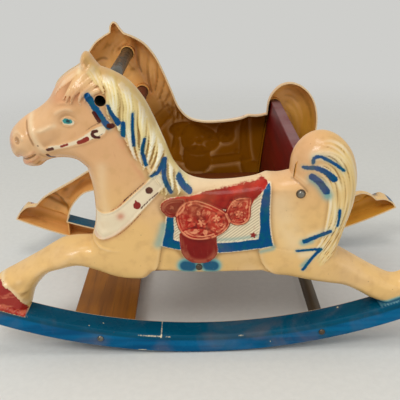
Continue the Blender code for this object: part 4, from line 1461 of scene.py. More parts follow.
    def _leather(self, n: Nodes, colour: Socket, cavity: Socket) -> Socket:
        """The saddle's red: bristly at its sprayed edge, with rosy painted highlights where the tooling
        stands out and painted shade in its grooves.

        Args:
            n: The writer of the side's nodes.
            colour: What is under it.
            cavity: How far each point is raised over what is around it.

        Returns:
            The colour's socket.
        """
        grain = n.noise(170.0, 4.0, (1.0, 1.0, 0.30))
        red = n.math("ADD", n.value(Channel.RED), n.times(n.math("SUBTRACT", grain, 0.5), 1.3))
        red = n.step(red, 0.22, 0.72)
        reds = n.mix(n.step(n.noise(44.0, 5.0), 0.32, 0.66), self.red, srgb(190, 44, 30))
        deep = n.times(n.step(n.value(Channel.TOOLED), 0.02, 0.14), n.step(n.value(Channel.TOOLED), 0.7, 0.4))
        reds = n.mix(n.times(deep, 0.8), reds, srgb(112, 10, 8))
        # Paler patches inside the tooled parts: painted highlights.
        highlight_share = n.times(n.step(n.value(Channel.TOOLED), 0.4, 0.9), n.step(n.noise(150.0, 5.0), 0.42, 0.68))
        reds = n.mix(n.times(highlight_share, 0.55), reds, srgb(222, 124, 88))
        # Painted highlights on the raised tooling.
        tops = n.times(n.step(cavity, 0.20, 1.0), n.value(Channel.TOOLED))
        tops = n.times(tops, n.step(n.noise(130.0, 4.0), 0.22, 0.55))
        reds = n.mix(tops, reds, srgb(236, 150, 108))
        # Painted shade in the tooling's grooves.
        reds = n.mix(n.times(n.step(cavity, -0.1, -1.2), 0.8), reds, srgb(92, 8, 8))
        return n.mix(red, colour, reds)

    def _bare(self, n: Nodes) -> Socket:
        """The bare plastic inside: golden, with painted light making the head, hump and legs brighter,
        painted shade making the middle of the body olive-brown, painted shade in hollows and creases and
        painted highlights on raised forms.

        Args:
            n: The writer of the side's nodes.

        Returns:
            The colour's socket.
        """
        where = n.place()
        # Painted shade: darker towards the middle of the body, where the other side and the seat shade it.
        along = n.math("DIVIDE", n.math("ADD", where["X"], -0.015), 0.175)
        up = n.math("DIVIDE", n.math("ADD", where["Z"], -0.235), 0.12)
        reach = n.math("SQRT", n.math("ADD", n.math("POWER", along, 2.0), n.math("POWER", up, 2.0)))
        reach = n.math("ADD", reach, n.times(n.math("SUBTRACT", n.noise(8.0, 4.0), 0.5), 0.5))
        golden = n.mix(n.step(n.noise(9.0, 5.0), 0.35, 0.7), self.inside, srgb(222, 166, 96))
        # Painted light: brighter over the hump, the head and the legs.
        golden = n.mix(n.step(where["X"], 0.02, 0.14), golden, srgb(230, 170, 66))
        golden = n.mix(n.step(where["Z"], 0.27, 0.36), golden, srgb(240, 180, 102))
        golden = n.mix(n.step(where["X"], -0.17, -0.24), golden, srgb(236, 178, 102))
        colour = n.mix(n.step(reach, 1.15, 0.65), golden, srgb(150, 92, 6))
        cavity = n.value(Channel.CAVITY)
        # Painted highlights on raised forms and painted shade in hollows.
        colour = n.mix(n.times(n.step(cavity, 0.15, 1.4), 0.36), colour, srgb(244, 196, 136))
        colour = n.mix(n.times(n.step(cavity, -0.15, -1.4), 0.5), colour, srgb(128, 76, 10))
        # Painted shade along the creases over the hooves and the rail.
        groove = n.times(n.value(Channel.GROOVE), 0.8, clamp=True)
        colour = n.mix(groove, colour, srgb(150, 96, 6))
        return n.mix(n.times(n.step(n.noise(30.0, 6.0), 0.5, 0.75), 0.3), colour, srgb(150, 92, 30))

    def _hatch(self, n: Nodes, colour: Socket) -> Socket:
        """Diagonal hatching on the blanket.

        Args:
            n: The writer of the side's nodes.
            colour: What is under it.

        Returns:
            The colour's socket.
        """
        where = n.add("TexCoord").outputs["Object"]
        turned = n.add("Mapping", {"Vector": where, "Rotation": (0.0, math.radians(-52), 0.0)}).outputs[0]
        wave = n.add("TexWave", {"Vector": turned, "Scale": 84.0, "Distortion": 0.5}, bands_direction="X")
        lines = n.times(n.step(wave.outputs["Fac"], 0.55, 0.15), n.value(Channel.HATCH))
        return n.mix(n.times(lines, 0.65), colour, srgb(168, 150, 112))


# ---------------------------------------------------------------- the sides as meshes
@dataclass
class Skin:
    """Triangles over one face of a side.

    Attributes:
        at: The points' (x, z) rows, in millimetres.
        loops: The numbers of the points on each outline, in order.
        faces: Triangles as numbers of points.
    """

    at: Array
    loops: list[Array]
    faces: Array


def without_repeats(loop: Array, apart: float = 0.25) -> Array:
    """A closed loop without points that lie on their neighbours.

    Args:
        loop: An array of (x, z) rows.
        apart: The least distance between neighbours.

    Returns:
        The loop.
    """
    kept = [loop[0]]
    for point in loop[1:]:
        if np.hypot(*(point - kept[-1])) > apart:
            kept.append(point)
    if np.hypot(*(kept[-1] - kept[0])) <= apart:
        kept.pop()
    return np.array(kept)


def clearance(loops: Iterable[Array], at: Array) -> Array:
    """The points' distances from the nearest of the closed loops."""
    return np.min([Line(loop, True).project(at)[0] for loop in loops], axis=0)


def cover(loops: list[Array], rings: Sequence[float], step: float, lattice: bool = True) -> Skin:
    """Triangles between loops, with rings of points along the loops and a lattice of points inside.

    Args:
        loops: Closed loops; what they go around is told by counting crossings.
        rings: Distances of the rings from the loops, in millimetres.
        step: Spacing of the lattice.
        lattice: Whether there is one.

    Returns:
        The triangles.
    """
    def within(at: Array) -> Array:
        """Whether the points are between the loops."""
        return np.logical_xor.reduce([Line(loop, True).inside(at) for loop in loops])

    parts = list(loops)
    for reach in rings:
        for loop in loops:
            moved = inset(loop, reach)
            parts.append(moved[(clearance(loops, moved) > reach * 0.96) & within(moved)])
    if lattice:
        low = np.min([loop.min(0) for loop in loops], axis=0)
        high = np.max([loop.max(0) for loop in loops], axis=0)
        rows = []
        for i, z in enumerate(np.arange(low[1], high[1], step * 0.866)):
            x = np.arange(low[0] + (i % 2) * step / 2, high[0], step)
            rows.append(np.column_stack([x, np.full(len(x), z)]))
        lattice_points = np.vstack(rows)
        lattice_points = lattice_points[within(lattice_points)]
        clear = (rings[-1] if rings else 0.0) + step * 0.62
        parts.append(lattice_points[clearance(loops, lattice_points) > clear])
    at = np.vstack(parts)
    starts = np.concatenate([[0], np.cumsum([len(p) for p in parts])])
    numbers = [np.arange(starts[i], starts[i + 1]) for i in range(len(loops))]
    edges = [(int(a), int(b)) for ring in numbers for a, b in zip(ring, np.roll(ring, -1))]
    coords, _, faces, origin, _, _ = delaunay_2d_cdt([Vector(p) for p in at], edges, [], 0, 1e-6)
    source = np.array([group[0] if group else -1 for group in origin])
    triangles = np.array([f for f in faces if len(f) == 3])
    middles = np.array([tuple(c) for c in coords])[triangles].mean(axis=1)
    triangles = source[triangles[within(middles)]]
    return Skin(at, numbers, triangles[np.all(triangles >= 0, axis=1)])


def inset(loop: Array, amount: float) -> Array:
    """A closed loop moved to its left.

    Args:
        loop: An array of (x, z) rows.
        amount: How far, in millimetres.

    Returns:
        The moved points.
    """
    ahead = np.roll(loop, -1, axis=0) - loop
    ahead /= np.linalg.norm(ahead, axis=1)[:, None]
    behind = np.roll(ahead, 1, axis=0)
    tangent = ahead + behind
    tangent /= np.maximum(np.linalg.norm(tangent, axis=1), 1e-9)[:, None]
    normal = np.column_stack([-tangent[:, 1], tangent[:, 0]])
    lean = np.maximum(0.5, np.sum(normal * np.column_stack([-ahead[:, 1], ahead[:, 0]]), axis=1))
    return loop + normal * (amount / lean)[:, None]


@dataclass
class SideShell:
    """Makes the two sides' meshes: outer skin, inner skin, walls and rim.

    Attributes:
        form: The relief and its paint.
        rim: Distance of the open rim from the horse's middle plane, in millimetres.
        outer_step: Fineness of the outer skin.
        inner_step: Fineness of the inner skin.
        deepest: What the relief never goes beyond, measured from the rim.
        peep: Middle of the hole before the hand tube's end.
        peep_radius: The hole's radius.
    """

    OUTER_RINGS = (0.55, 1.3, 2.4, 4.0)     # distances of rings of points from the outlines
    INNER_RINGS = (1.2, 3.0)
    INNER_GAIN = 1.25       # how much stronger the relief is inside
    OUTER_ROUNDS = 34       # rounds of smoothing, against which hollows and tops are told
    INNER_ROUNDS = 18

    form: SideForm
    rim: float = 147.0
    outer_step: float = 1.75
    inner_step: float = 2.5
    deepest: float = 41.5
    peep: Point = (-144.0, 425.0)
    peep_radius: float = 7.75

    def build(self) -> tuple[Array, Array, Array, Paint]:
        """Works out one side.

        Returns:
            Points as (x, depth over the rim, z) rows in millimetres, triangles, quads, and the channels.
        """
        outline = self.form.outline
        angles = np.linspace(0.0, -math.tau, 41)[:-1]
        hole = np.array(self.peep) + self.peep_radius * np.column_stack([np.cos(angles), np.sin(angles)])
        edges = [without_repeats(outline.outer.points), without_repeats(outline.gap.points)]
        inner_edges = []
        for loop in edges:
            moved = inset(loop, self.form.wall)
            clear = clearance(edges, moved) > self.form.wall * 0.97
            inner_edges.append(without_repeats(moved[clear], 0.5))
        outer = cover([*edges, hole], self.OUTER_RINGS, self.outer_step)
        inner = cover([*inner_edges, hole], self.INNER_RINGS, self.inner_step)
        skins = []
        for skin, sunk in ((outer, 0.0), (inner, self.form.wall)):
            sheet = Sheet(skin.at)
            depth, rail = self.form.base(skin.at, sunk)
            self.form.dress(sheet)
            from_edge = clearance(edges, skin.at)
            relief = sheet.relief * ease(from_edge / 5.0) * (1.0 - rail)
            if sunk:
                relief = self.INNER_GAIN * relax(relief, skin.faces, 1)
                # The painted shade along the creases is kept for the inner skin.
                groove = sheet.paint[Channel.GROOVE]
                sheet.paint = unpainted(len(skin.at))
                sheet.paint[Channel.INSIDE] += 1.0
                sheet.paint[Channel.GROOVE] = groove * (1.0 - 0.5 * rail)
                # Inside, the hollows and tops for painted shade and highlights are told against a smoothed
                # relief.
                sheet.paint[Channel.CAVITY] = relax(relief, skin.faces, self.INNER_ROUNDS) - relief
            else:
                # Outside too: the height over a smoothed relief, for painted shade in hollows and painted
                # highlights on tops.
                raised = relief - relax(relief, skin.faces, self.OUTER_ROUNDS)
                sheet.paint[Channel.CAVITY] = raised * ease(from_edge / 6.0)
                self._mask(sheet, rail, clearance(edges[:1], skin.at))
            over = depth + relief - (self.deepest - sunk - 2.0)
            shown = depth + relief - np.where(over > 0.0, over - 2.0 * np.tanh(over / 2.0), 0.0)
            skins.append((skin, shown, sheet.paint))
        return self._assemble(skins)

    def _mask(self, sheet: Sheet, rail: Array, from_outer: Array) -> None:
        """Keeps the horse's paints off the rail, the rail's off its toes, and the hooves' off the edges, and
        paints shade on the rail's top.

        Args:
            sheet: The outer skin's points.
            rail: The points' share of the rail, from 0 to 1.
            from_outer: Their distance from the side's outer edge.
        """
        for channel in CRISP - {Channel.DARK, Channel.CHIP, Channel.HOOF}:
            sheet.paint[channel] = np.where(rail > 0.5, UNPAINTED, sheet.paint[channel])
        np.minimum(sheet.paint[Channel.HOOF], from_outer - 4.0, out=sheet.paint[Channel.HOOF])
        rise = sheet.at[:, 1] - arc_height(sheet.at[:, 0])
        # Painted shade on the rail's upper edge and top face.
        sheet.paint[Channel.GROOVE] = rail * ease((rise - 24.0) / 3.0)
        hoof = ease(sheet.paint[Channel.HOOF] / 1.2 + 0.5)
        below = ease((RAIL_HEIGHT + 0.2 - rise) / 0.6 + 0.5)
        bare_toe = ease((np.abs(sheet.at[:, 0]) - 362.0) / 5.0) * ease((rise - 25.0) / 3.0)
        sheet.paint[Channel.RAIL] = np.maximum(rail, below) * (1.0 - hoof) * (1.0 - bare_toe)

    def _assemble(self, skins: list[tuple[Skin, Array, Paint]]) -> tuple[Array, Array, Array, Paint]:
        """Joins both skins by their walls, the rim and the hole's wall.

        Args:
            skins: The outer and the inner skin's triangles, depths and channels.

        Returns:
            Points as (x, depth over the rim, z) rows in millimetres, triangles, quads, and the channels.
        """
        points, depths, triangles, quads = [], [], [], []
        paint: dict[Channel, list] = {c: [] for c in Channel}
        total = 0
        rims, holes = [], []
        for skin, depth, channels in skins:
            points.append(skin.at)
            depths.append(depth)
            triangles.append(skin.faces + total)
            for channel in Channel:
                paint[channel].append(channels[channel])
            base = total
            total += len(skin.at)
            holes.append(skin.loops[-1] + base)
            for loop in skin.loops[:-1]:
                top = loop + base
                for level, rim in ((0.9, 0.0), (0.0, 1.0)):
                    ring = np.arange(total, total + len(loop))
                    points.append(skin.at[loop])
                    depths.append(np.full(len(loop), level))
                    for channel in Channel:
                        values = channels[channel][loop]
                        paint[channel].append(np.full(len(loop), rim) if channel is Channel.RIM else values)
                    quads.append(np.column_stack([top, np.roll(top, -1), np.roll(ring, -1), ring]))
                    top = ring
                    total += len(loop)
                rims.append((skin.at[loop], top))
        annulus = cover([at for at, _ in rims], (), 1.0, lattice=False)
        triangles.append(np.concatenate([numbers for _, numbers in rims])[annulus.faces])
        quads.append(np.column_stack([holes[0], np.roll(holes[0], -1), np.roll(holes[1], -1), holes[1]]))
        at, depth = np.vstack(points), np.concatenate(depths)
        rows = np.column_stack([at[:, 0], depth, at[:, 1]])
        return rows, np.vstack(triangles), np.vstack(quads), {c: np.concatenate(v) for c, v in paint.items()}

    def make(self, finish: Material) -> dict[str, Thing]:
        """Builds both sides.

        Args:
            finish: Their material.

        Returns:
            The objects, by side.
        """
        rows, triangles, quads, paint = self.build()
        LOG.info("side: %d points, %d triangles, %d quads", len(rows), len(triangles), len(quads))
        made = {}
        for word, sign in (("left", -1.0), ("right", 1.0)):
            placed = np.column_stack([rows[:, 0], sign * (self.rim + rows[:, 1]), rows[:, 2]]) * MM
            mesh = bpy.data.meshes.new(f"{word}_side")
            mesh.from_pydata(placed.tolist(), [], triangles.tolist() + quads.tolist())
            for channel, values in paint.items():
                attribute = mesh.attributes.new(channel.value, "FLOAT", "POINT")
                attribute.data.foreach_set("value", values.astype(np.float32))
            bm = bmesh.new()
            bm.from_mesh(mesh)
            bmesh.ops.recalc_face_normals(bm, faces=bm.faces)
            bm.to_mesh(mesh)
            bm.free()
            mesh.shade_smooth()
            mesh.set_sharp_from_angle(angle=math.radians(50))
            mesh.materials.append(finish)
            made[word] = bpy.data.objects.new(f"{word}_side", mesh)
            bpy.context.scene.collection.objects.link(made[word])
        return made


def relax(values: Array, faces: Array, rounds: int) -> Array:
    """Values at points, each moved towards its neighbours' mean.

    Args:
        values: One per point.
        faces: Triangles over the points.
        rounds: How often.

    Returns:
        The new values.
    """
    a = np.concatenate([faces[:, 0], faces[:, 1], faces[:, 2]])
    b = np.concatenate([faces[:, 1], faces[:, 2], faces[:, 0]])
    count = np.maximum(np.bincount(a, minlength=len(values)) + np.bincount(b, minlength=len(values)), 1)
    result = values.copy()
    for _ in range(rounds):
        total = np.bincount(a, result[b], len(values)) + np.bincount(b, result[a], len(values))
        result = 0.3 * result + 0.7 * total / count
    return result


# ---------------------------------------------------------------- wood, steel and their pieces
@dataclass(frozen=True)
class PaintedWood:
    """Board painted long ago: dull, dusty and with a painted sheen on upward faces, and chipped at the edges.

    Attributes:
        name: The material's name.
        paint: The paint.
        top_dust_and_sheen: The paint on upward faces, dusty and with a painted sheen.
        wood: The wood under it.
        chipped: How much is chipped, from 0 to 1.
    """

    name: str
    paint: Colour
    top_dust_and_sheen: Colour
    wood: Colour
    chipped: float = 0.4

    def make(self, effects: Effects) -> Material:
        """Builds the material.

        Args:
            effects: The shared effects.

        Returns:
            The material.
        """
        material, n = new_material(self.name)
        streaks = n.noise(9.0, 5.0, (6.0, 0.8, 6.0))
        colour = n.mix(n.step(streaks, 0.35, 0.7), self.paint, tuple(c * 0.62 for c in self.paint))
        # Upward faces go paler: partly dusty, partly a painted sheen of the light from above.
        facing = n.add("SeparateXYZ", {0: n.add("NewGeometry").outputs["Normal"]}).outputs["Z"]
        dust_and_sheen = n.times(n.step(facing, 0.5, 0.95), n.step(n.noise(24.0, 5.0), 0.05, 0.55))
        colour = n.mix(dust_and_sheen, colour, self.top_dust_and_sheen)
        edge = n.step(n.noise(70.0, 6.0), 0.70 - 0.06 * self.chipped, 0.73)
        worn = n.times(edge, n.step(n.noise(11.0, 2.0), 0.40, 0.62))
        colour = n.mix(worn, colour, self.wood)
        colour = n.mix(effects.dirt.use(n, "Smudge", Amount=0.3), colour, srgb(60, 30, 24))
        grain = n.bump(n.noise(30.0, 5.0, (5.0, 0.6, 5.0)), 0.25, 0.0012)
        n.finish(Base_Color=colour, Roughness=n.math("MULTIPLY_ADD", dust_and_sheen, 0.25, 0.48), Normal=grain,
                 Specular_IOR_Level=0.2)
        return material


@dataclass(frozen=True)
class VarnishedWood:
    """Bare or stained wood with a grain along Y.

    Attributes:
        name: The material's name.
        light: The early wood.
        dark: The late wood.
        rough: Its roughness.
    """

    name: str
    light: Colour
    dark: Colour
    rough: float = 0.42

    def make(self, effects: Effects) -> Material:
        """Builds the material.

        Args:
            effects: The shared effects.

        Returns:
            The material.
        """
        material, n = new_material(self.name)
        grain = n.noise(14.0, 6.0, (5.0, 0.3, 5.0), 0.5)
        pores = n.noise(190.0, 3.0, (2.0, 0.06, 2.0))
        colour = n.mix(n.step(grain, 0.36, 0.64), self.light, self.dark)
        colour = n.mix(n.times(n.step(pores, 0.55, 0.7), 0.45), colour, tuple(c * 0.4 for c in self.dark))
        colour = n.mix(effects.dirt.use(n, "Smudge", Amount=0.35), colour, tuple(c * 0.55 for c in self.dark))
        n.finish(Base_Color=colour, Roughness=n.math("MULTIPLY_ADD", grain, 0.2, self.rough - 0.1),
                 Normal=n.bump(pores, 0.2, 0.0005))
        return material


@dataclass(frozen=True)
class OldSteel:
    """Steel with tarnish and scratches.

    Attributes:
        name: The material's name.
        bright: The clean metal.
        dull: The tarnish.
        tarnished: How much of it is tarnished, from 0 to 1.
        metallic: How metallic the clean metal looks.
    """

    name: str
    bright: Colour
    dull: Colour
    tarnished: float = 0.5
    metallic: float = 0.9

    def make(self, effects: Effects) -> Material:
        """Builds the material.

        Args:
            effects: The shared effects.

        Returns:
            The material.
        """
        material, n = new_material(self.name)
        spots = n.step(n.noise(120.0, 6.0), 0.75 - 0.5 * self.tarnished, 0.85 - 0.3 * self.tarnished)
        colour = n.mix(spots, self.bright, self.dull)
        colour = n.mix(effects.dirt.use(n, "Smudge", Amount=0.4), colour, tuple(c * 0.5 for c in self.dull))
        metallic = n.math("MULTIPLY_ADD", spots, -0.55 * self.metallic, self.metallic)
        scratches = n.noise(300.0, 3.0, (1.0, 0.05, 1.0))
        n.finish(Base_Color=colour, Metallic=metallic, Roughness=n.math("MULTIPLY_ADD", spots, 0.3, 0.3),
                 Normal=n.bump(scratches, 0.15, 0.0004))
        return material


def deselect() -> None:
    """Leaves nothing selected."""
    bpy.ops.object.select_all(action="DESELECT")


def modify(name: str, kind: str, **settings: object) -> None:
    """Adds a modifier to the active object.

    Args:
        name: The modifier's name.
        kind: Its type, as Blender names it.
        **settings: Its settings.
    """
    modifier = bpy.context.active_object.modifiers.new(name, kind)
    for key, value in settings.items():
        setattr(modifier, key, value)


def settle(name: str, finish: Material, smooth_angle: float = 40.0) -> Thing:
    """Ends the modelling of the active object: its modifiers and its place go into its mesh.

    Args:
        name: Its name.
        finish: Its material.
        smooth_angle: Edges sharper than this stay sharp, in degrees.

    Returns:
        The object.
    """
    thing = bpy.context.active_object
    thing.name = thing.data.name = name
    deselect()
    thing.select_set(True)
    bpy.ops.object.convert(target="MESH")
    bpy.ops.object.transform_apply(location=True, rotation=True, scale=True)
    bpy.ops.object.shade_smooth_by_angle(angle=math.radians(smooth_angle))
    thing.data.materials.clear()
    thing.data.materials.append(finish)
    return thing


@dataclass
class Board:
    """A board from side to side.

    Attributes:
        name: Its name.
        size: Its size along x, y and z before it is tilted, in metres.
        foot: Where the middle of its lower face is.
        tilt: Degrees that it leans back by.
        corner: Rounding of its long edges.
        hollow: Depth of the wear in its top edge; not used.
    """

    name: str
    size: Place
    foot: Place
    tilt: float = 0.0
    corner: float = 0.0022
    hollow: float = 0.0

    def make(self, finish: Material) -> Thing:
        """Models the board.

        Args:
            finish: Its material.

        Returns:
            The object.
        """
        deselect()
        bpy.ops.mesh.primitive_cube_add(size=1.0)
        board = bpy.context.active_object
        board.scale = self.size
        bpy.ops.object.transform_apply(location=False, rotation=False, scale=True)
        bpy.ops.object.mode_set(mode="EDIT")
        bpy.ops.mesh.select_all(action="SELECT")
        bpy.ops.transform.translate(value=(0.0, 0.0, self.size[2] / 2))
        bpy.ops.mesh.bevel(offset=self.corner, segments=3, affect="EDGES")
        bpy.ops.object.mode_set(mode="OBJECT")
        board.rotation_euler = (0.0, math.radians(self.tilt), 0.0)
        board.location = self.foot
        return settle(self.name, finish)


@dataclass
class Bar:
    """A tube or dowel from side to side.

    Attributes:
        name: Its name.
        place: The x and z of its axis, in metres.
        diameter: Its diameter.
        length: Its length.
        wall: Its wall, or 0 where it is solid.
    """

    name: str
    place: Point
    diameter: float
    length: float = 0.3640
    wall: float = 0.0

    def make(self, finish: Material) -> Thing:
        """Models the bar.

        Args:
            finish: Its material.

        Returns:
            The object.
        """
        deselect()
        bpy.ops.mesh.primitive_cylinder_add(
            vertices=64, radius=self.diameter / 2, depth=self.length,
            end_fill_type="NOTHING" if self.wall else "NGON", location=(self.place[0], 0.0, self.place[1]),
            rotation=(math.pi / 2, 0.0, 0.0))
        if self.wall:
            modify("wall", "SOLIDIFY", thickness=self.wall, offset=-1.0)
        modify("arris", "BEVEL", width=0.0005 if self.wall else 0.0012, segments=2)
        return settle(self.name, finish)


def copy_of(pattern: Thing, name: str, at: Place, side: float, turn: float,
            finish: Material) -> Thing:
    """A copy, with its own mesh, of an upright piece, standing on one side of the horse.

    Args:
        pattern: The upright piece.
        name: The copy's name.
        at: Where the pattern's origin goes.
        side: 1 on the +Y side and -1 on the -Y side.
        turn: Degrees that it is turned by around its own axis.
        finish: Its material.

    Returns:
        The copy.
    """
    copy = bpy.data.objects.new(name, pattern.data.copy())
    copy.data.name = name
    turned = Matrix.Rotation(-side * math.pi / 2, 4, "X") @ Matrix.Rotation(math.radians(turn), 4, "Z")
    copy.data.transform(Matrix.Translation(at) @ turned)
    copy.data.materials.clear()
    copy.data.materials.append(finish)
    bpy.context.scene.collection.objects.link(copy)
    return copy


@dataclass
class RoundHeadScrew:
    """A round-head wood screw, without a slot.

    Attributes:
        head: The head's diameter, in metres.
        rise: The head's height.
        shank: The shank's diameter.
        length: Length under the head.
    """

    head: float = 0.0105
    rise: float = 0.0034
    shank: float = 0.0046
    length: float = 0.031

    def make(self, finish: Material) -> Thing:
        """Models an upright screw, with the middle of its head's flat underside at the origin.

        Args:
            finish: Its material.

        Returns:
            The object, to be copied.
        """
        deselect()
        bpy.ops.mesh.primitive_uv_sphere_add(segments=32, ring_count=16, radius=1.0)
        screw = bpy.context.active_object
        screw.scale = (self.head / 2, self.head / 2, self.rise)
        bpy.ops.object.transform_apply(location=False, rotation=False, scale=True)
        bpy.ops.object.mode_set(mode="EDIT")
        bpy.ops.mesh.select_all(action="SELECT")
        bpy.ops.mesh.bisect(plane_co=(0, 0, 0), plane_no=(0, 0, 1), clear_inner=True, use_fill=True)
        bpy.ops.mesh.primitive_cylinder_add(
            vertices=16, radius=self.shank / 2, depth=self.length,
            location=(0.0, 0.0, -self.length / 2 + 0.0002))
        bpy.ops.object.mode_set(mode="OBJECT")
        return settle("screw", finish, 35.0)


@dataclass
class CupWasher:
    """The dished washer under the rump screws.

    Attributes:
        outside: Its diameter, in metres.
        hole: Its hole's diameter.
        rise: Its height.
    """

    outside: float = 0.0142
    hole: float = 0.0056
    rise: float = 0.0019

    def make(self, finish: Material) -> Thing:
        """Models an upright washer, with its middle at the origin.

        Args:
            finish: Its material.

        Returns:
            The object, to be copied.
        """
        deselect()
        bpy.ops.mesh.primitive_torus_add(
            major_segments=48, minor_segments=16, major_radius=(self.outside + self.hole) / 4,
            minor_radius=(self.outside - self.hole) / 4)
        bpy.context.active_object.scale = (1.0, 1.0, self.rise / ((self.outside - self.hole) / 4))
        return settle("cup", finish, 60.0)


class Reach:
    """How far out the skins of a finished side are."""

    INSIDE = 0.1495     # a ray towards the inner skin starts here, between rim and skin, in metres
    OUTSIDE = 0.3       # and one towards the outer skin here

    def __init__(self, side: Thing) -> None:
        """Measures from one finished side; the other one is its mirror image."""
        self.tree = BVHTree.FromObject(side, bpy.context.evaluated_depsgraph_get())
        self.sign = math.copysign(1.0, side.bound_box[0][1])

    def inner(self, x: float, z: float) -> float | None:
        """Distance of the inner skin from the middle plane at x and z, or None where there is none."""
        hit = self.tree.ray_cast(Vector((x, self.sign * self.INSIDE, z)), Vector((0.0, self.sign, 0.0)))[0]
        return abs(hit.y) if hit else None

    def outer(self, x: float, z: float) -> float | None:
        """Distance of the outer skin from the middle plane at x and z, or None where there is none."""
        hit = self.tree.ray_cast(Vector((x, self.sign * self.OUTSIDE, z)), Vector((0.0, -self.sign, 0.0)))[0]
        return abs(hit.y) if hit else None

    def trim(self, piece: Thing, beyond: float, gap: float = 0.0002) -> Thing:
        """Ends a piece at the inner skins of both sides.

        Args:
            piece: The piece.
            beyond: Points further out than this are trimmed.
            gap: What is left between the piece and the skin; a negative gap lets it in.

        Returns:
            The same piece.
        """
        for vertex in piece.data.vertices:
            x, y, z = vertex.co
            if abs(y) > beyond:
                skin = self.inner(x, z)
                if skin is not None:
                    vertex.co.y = math.copysign(skin - gap if gap < 0.0 else min(abs(y), skin - gap), y)
        return piece

    def square_off(self, piece: Thing, beyond: float, gap: float = 0.0004) -> Thing:
        """Ends a turning piece squarely, just short of the nearest point of the skins.

        Args:
            piece: The piece.
            beyond: Points further out than this are its ends.
            gap: What is left between its ends and the skins.

        Returns:
            The same piece.
        """
        (x0, _, z0), (x1, _, z1) = piece.bound_box[0], piece.bound_box[6]
        middle, half = ((x0 + x1) / 2, (z0 + z1) / 2), (x1 - x0) / 2
        turns = [math.tau * i / 24 for i in range(24)]
        skins = [self.inner(middle[0] + r * math.cos(a), middle[1] + r * math.sin(a))
                 for a in turns for r in (0.5 * half, half + 0.0003)]
        end = min(skin for skin in skins if skin is not None) - gap
        for vertex in piece.data.vertices:
            if abs(vertex.co.y) > beyond:
                vertex.co.y = math.copysign(min(abs(vertex.co.y), end), vertex.co.y)
        return piece


@dataclass
class InnerLips:
    """What is moulded on the sides' inner faces around the ends of tube, dowel and boards.

    Attributes:
        reach: How far out the side's skins are.
        finish: Their material.
        skin: Usual distance of the inner skin from the horse's middle plane, in metres.
        wall: Their walls' thickness.
        socket_depth: How far the round sockets stand in.
        lip_depth: How far the boards' lips stand in.
    """

    RIM = 0.1485    # where the ribs start, distance from the middle plane in metres

    reach: Reach
    finish: Material
    skin: float = 0.1835
    wall: float = 0.0022
    socket_depth: float = 0.0175
    lip_depth: float = 0.0135

    def socket(self, name: str, side: float, place: Point, diameter: float) -> Thing:
        """A ring around a bar's end.

        Args:
            name: Its name.
            side: 1 at +Y and -1 at -Y.
            place: The x and z of the bar's axis.
            diameter: The bar's diameter.

        Returns:
            The object.
        """
        deselect()
        bpy.ops.mesh.primitive_cylinder_add(
            vertices=64, radius=diameter / 2 + 0.0007, depth=self.socket_depth, end_fill_type="NOTHING",
            location=(place[0], side * (self.skin - self.socket_depth / 2), place[1]),
            rotation=(math.pi / 2, 0.0, 0.0))
        return self._walled(name)

    def arch(self, name: str, side: float, foot: Point, size: tuple[float, float],
             tilt: float) -> Thing:
        """A lip around the back board's end, open at its foot.

        Args:
            name: Its name.
            side: 1 at +Y and -1 at -Y.
            foot: The x and z of the middle of the board's foot.
            size: The board's thickness and height.
            tilt: Degrees that the board leans back by.

        Returns:
            The object.
        """
        deselect()
        bpy.ops.mesh.primitive_cube_add(size=1.0)
        lip = bpy.context.active_object
        lip.scale = (size[0] + 0.0014, self.lip_depth, size[1] + 0.0008)
        bpy.ops.object.transform_apply(location=False, rotation=False, scale=True)
        bpy.ops.object.mode_set(mode="EDIT")
        bpy.ops.mesh.select_all(action="SELECT")
        bpy.ops.transform.translate(value=(0.0, 0.0, (size[1] + 0.0008) / 2))
        bpy.ops.mesh.select_all(action="DESELECT")
        bm = bmesh.from_edit_mesh(lip.data)
        for face in bm.faces:
            face.select = abs(face.normal.y) > 0.5 or face.normal.z < -0.5  # the ends and the foot
        bmesh.update_edit_mesh(lip.data)
        bpy.ops.mesh.delete(type="ONLY_FACE")
        bpy.ops.mesh.select_all(action="DESELECT")
        bm = bmesh.from_edit_mesh(lip.data)
        for edge in bm.edges:
            edge.select = len(edge.link_faces) == 2  # both upper corners
        bmesh.update_edit_mesh(lip.data)
        bpy.ops.mesh.bevel(offset=0.0095, segments=8, affect="EDGES")
        bpy.ops.object.mode_set(mode="OBJECT")
        lip.rotation_euler = (0.0, math.radians(tilt), 0.0)
        lip.location = (foot[0], side * (self.skin - self.lip_depth / 2), foot[1])
        return self._walled(name)

    def rib(self, name: str, side: float, x: float, low: float, high: float) -> Thing:
        """A web across the rail at the end of the gap.

        Args:
            name: Its name.
            side: 1 at +Y and -1 at -Y.
            x: Its place, in metres.
            low: Its lowest height.
            high: Its highest height.

        Returns:
            The object.
        """
        deselect()
        inner, outer = self.RIM, self.skin - 0.0005
        bpy.ops.mesh.primitive_cube_add(size=1.0, location=(x, side * (inner + outer) / 2, (low + high) / 2))
        bpy.context.active_object.scale = (self.wall, outer - inner, high - low)
        modify("edge", "BEVEL", width=0.0005, segments=2)
        return self._moulded(settle(name, self.finish))

    def _walled(self, name: str) -> Thing:
        """Gives the active object its wall and lets it into the skin.

        Args:
            name: Its name.

        Returns:
            The object.
        """
        modify("wall", "SOLIDIFY", thickness=self.wall, offset=1.0)
        modify("edge", "BEVEL", width=0.0006, segments=2)
        return self._moulded(settle(name, self.finish))

    def _moulded(self, made: Thing) -> Thing:
        """Lets a finished form into the skin and marks it as bare plastic.

        Args:
            made: The form.

        Returns:
            The same object.
        """
        self.reach.trim(made, self.skin - 0.002, -0.0006)
        attribute = made.data.attributes.new(Channel.INSIDE.value, "FLOAT", "POINT")
        attribute.data.foreach_set("value", np.ones(len(made.data.vertices), np.float32))
        return made


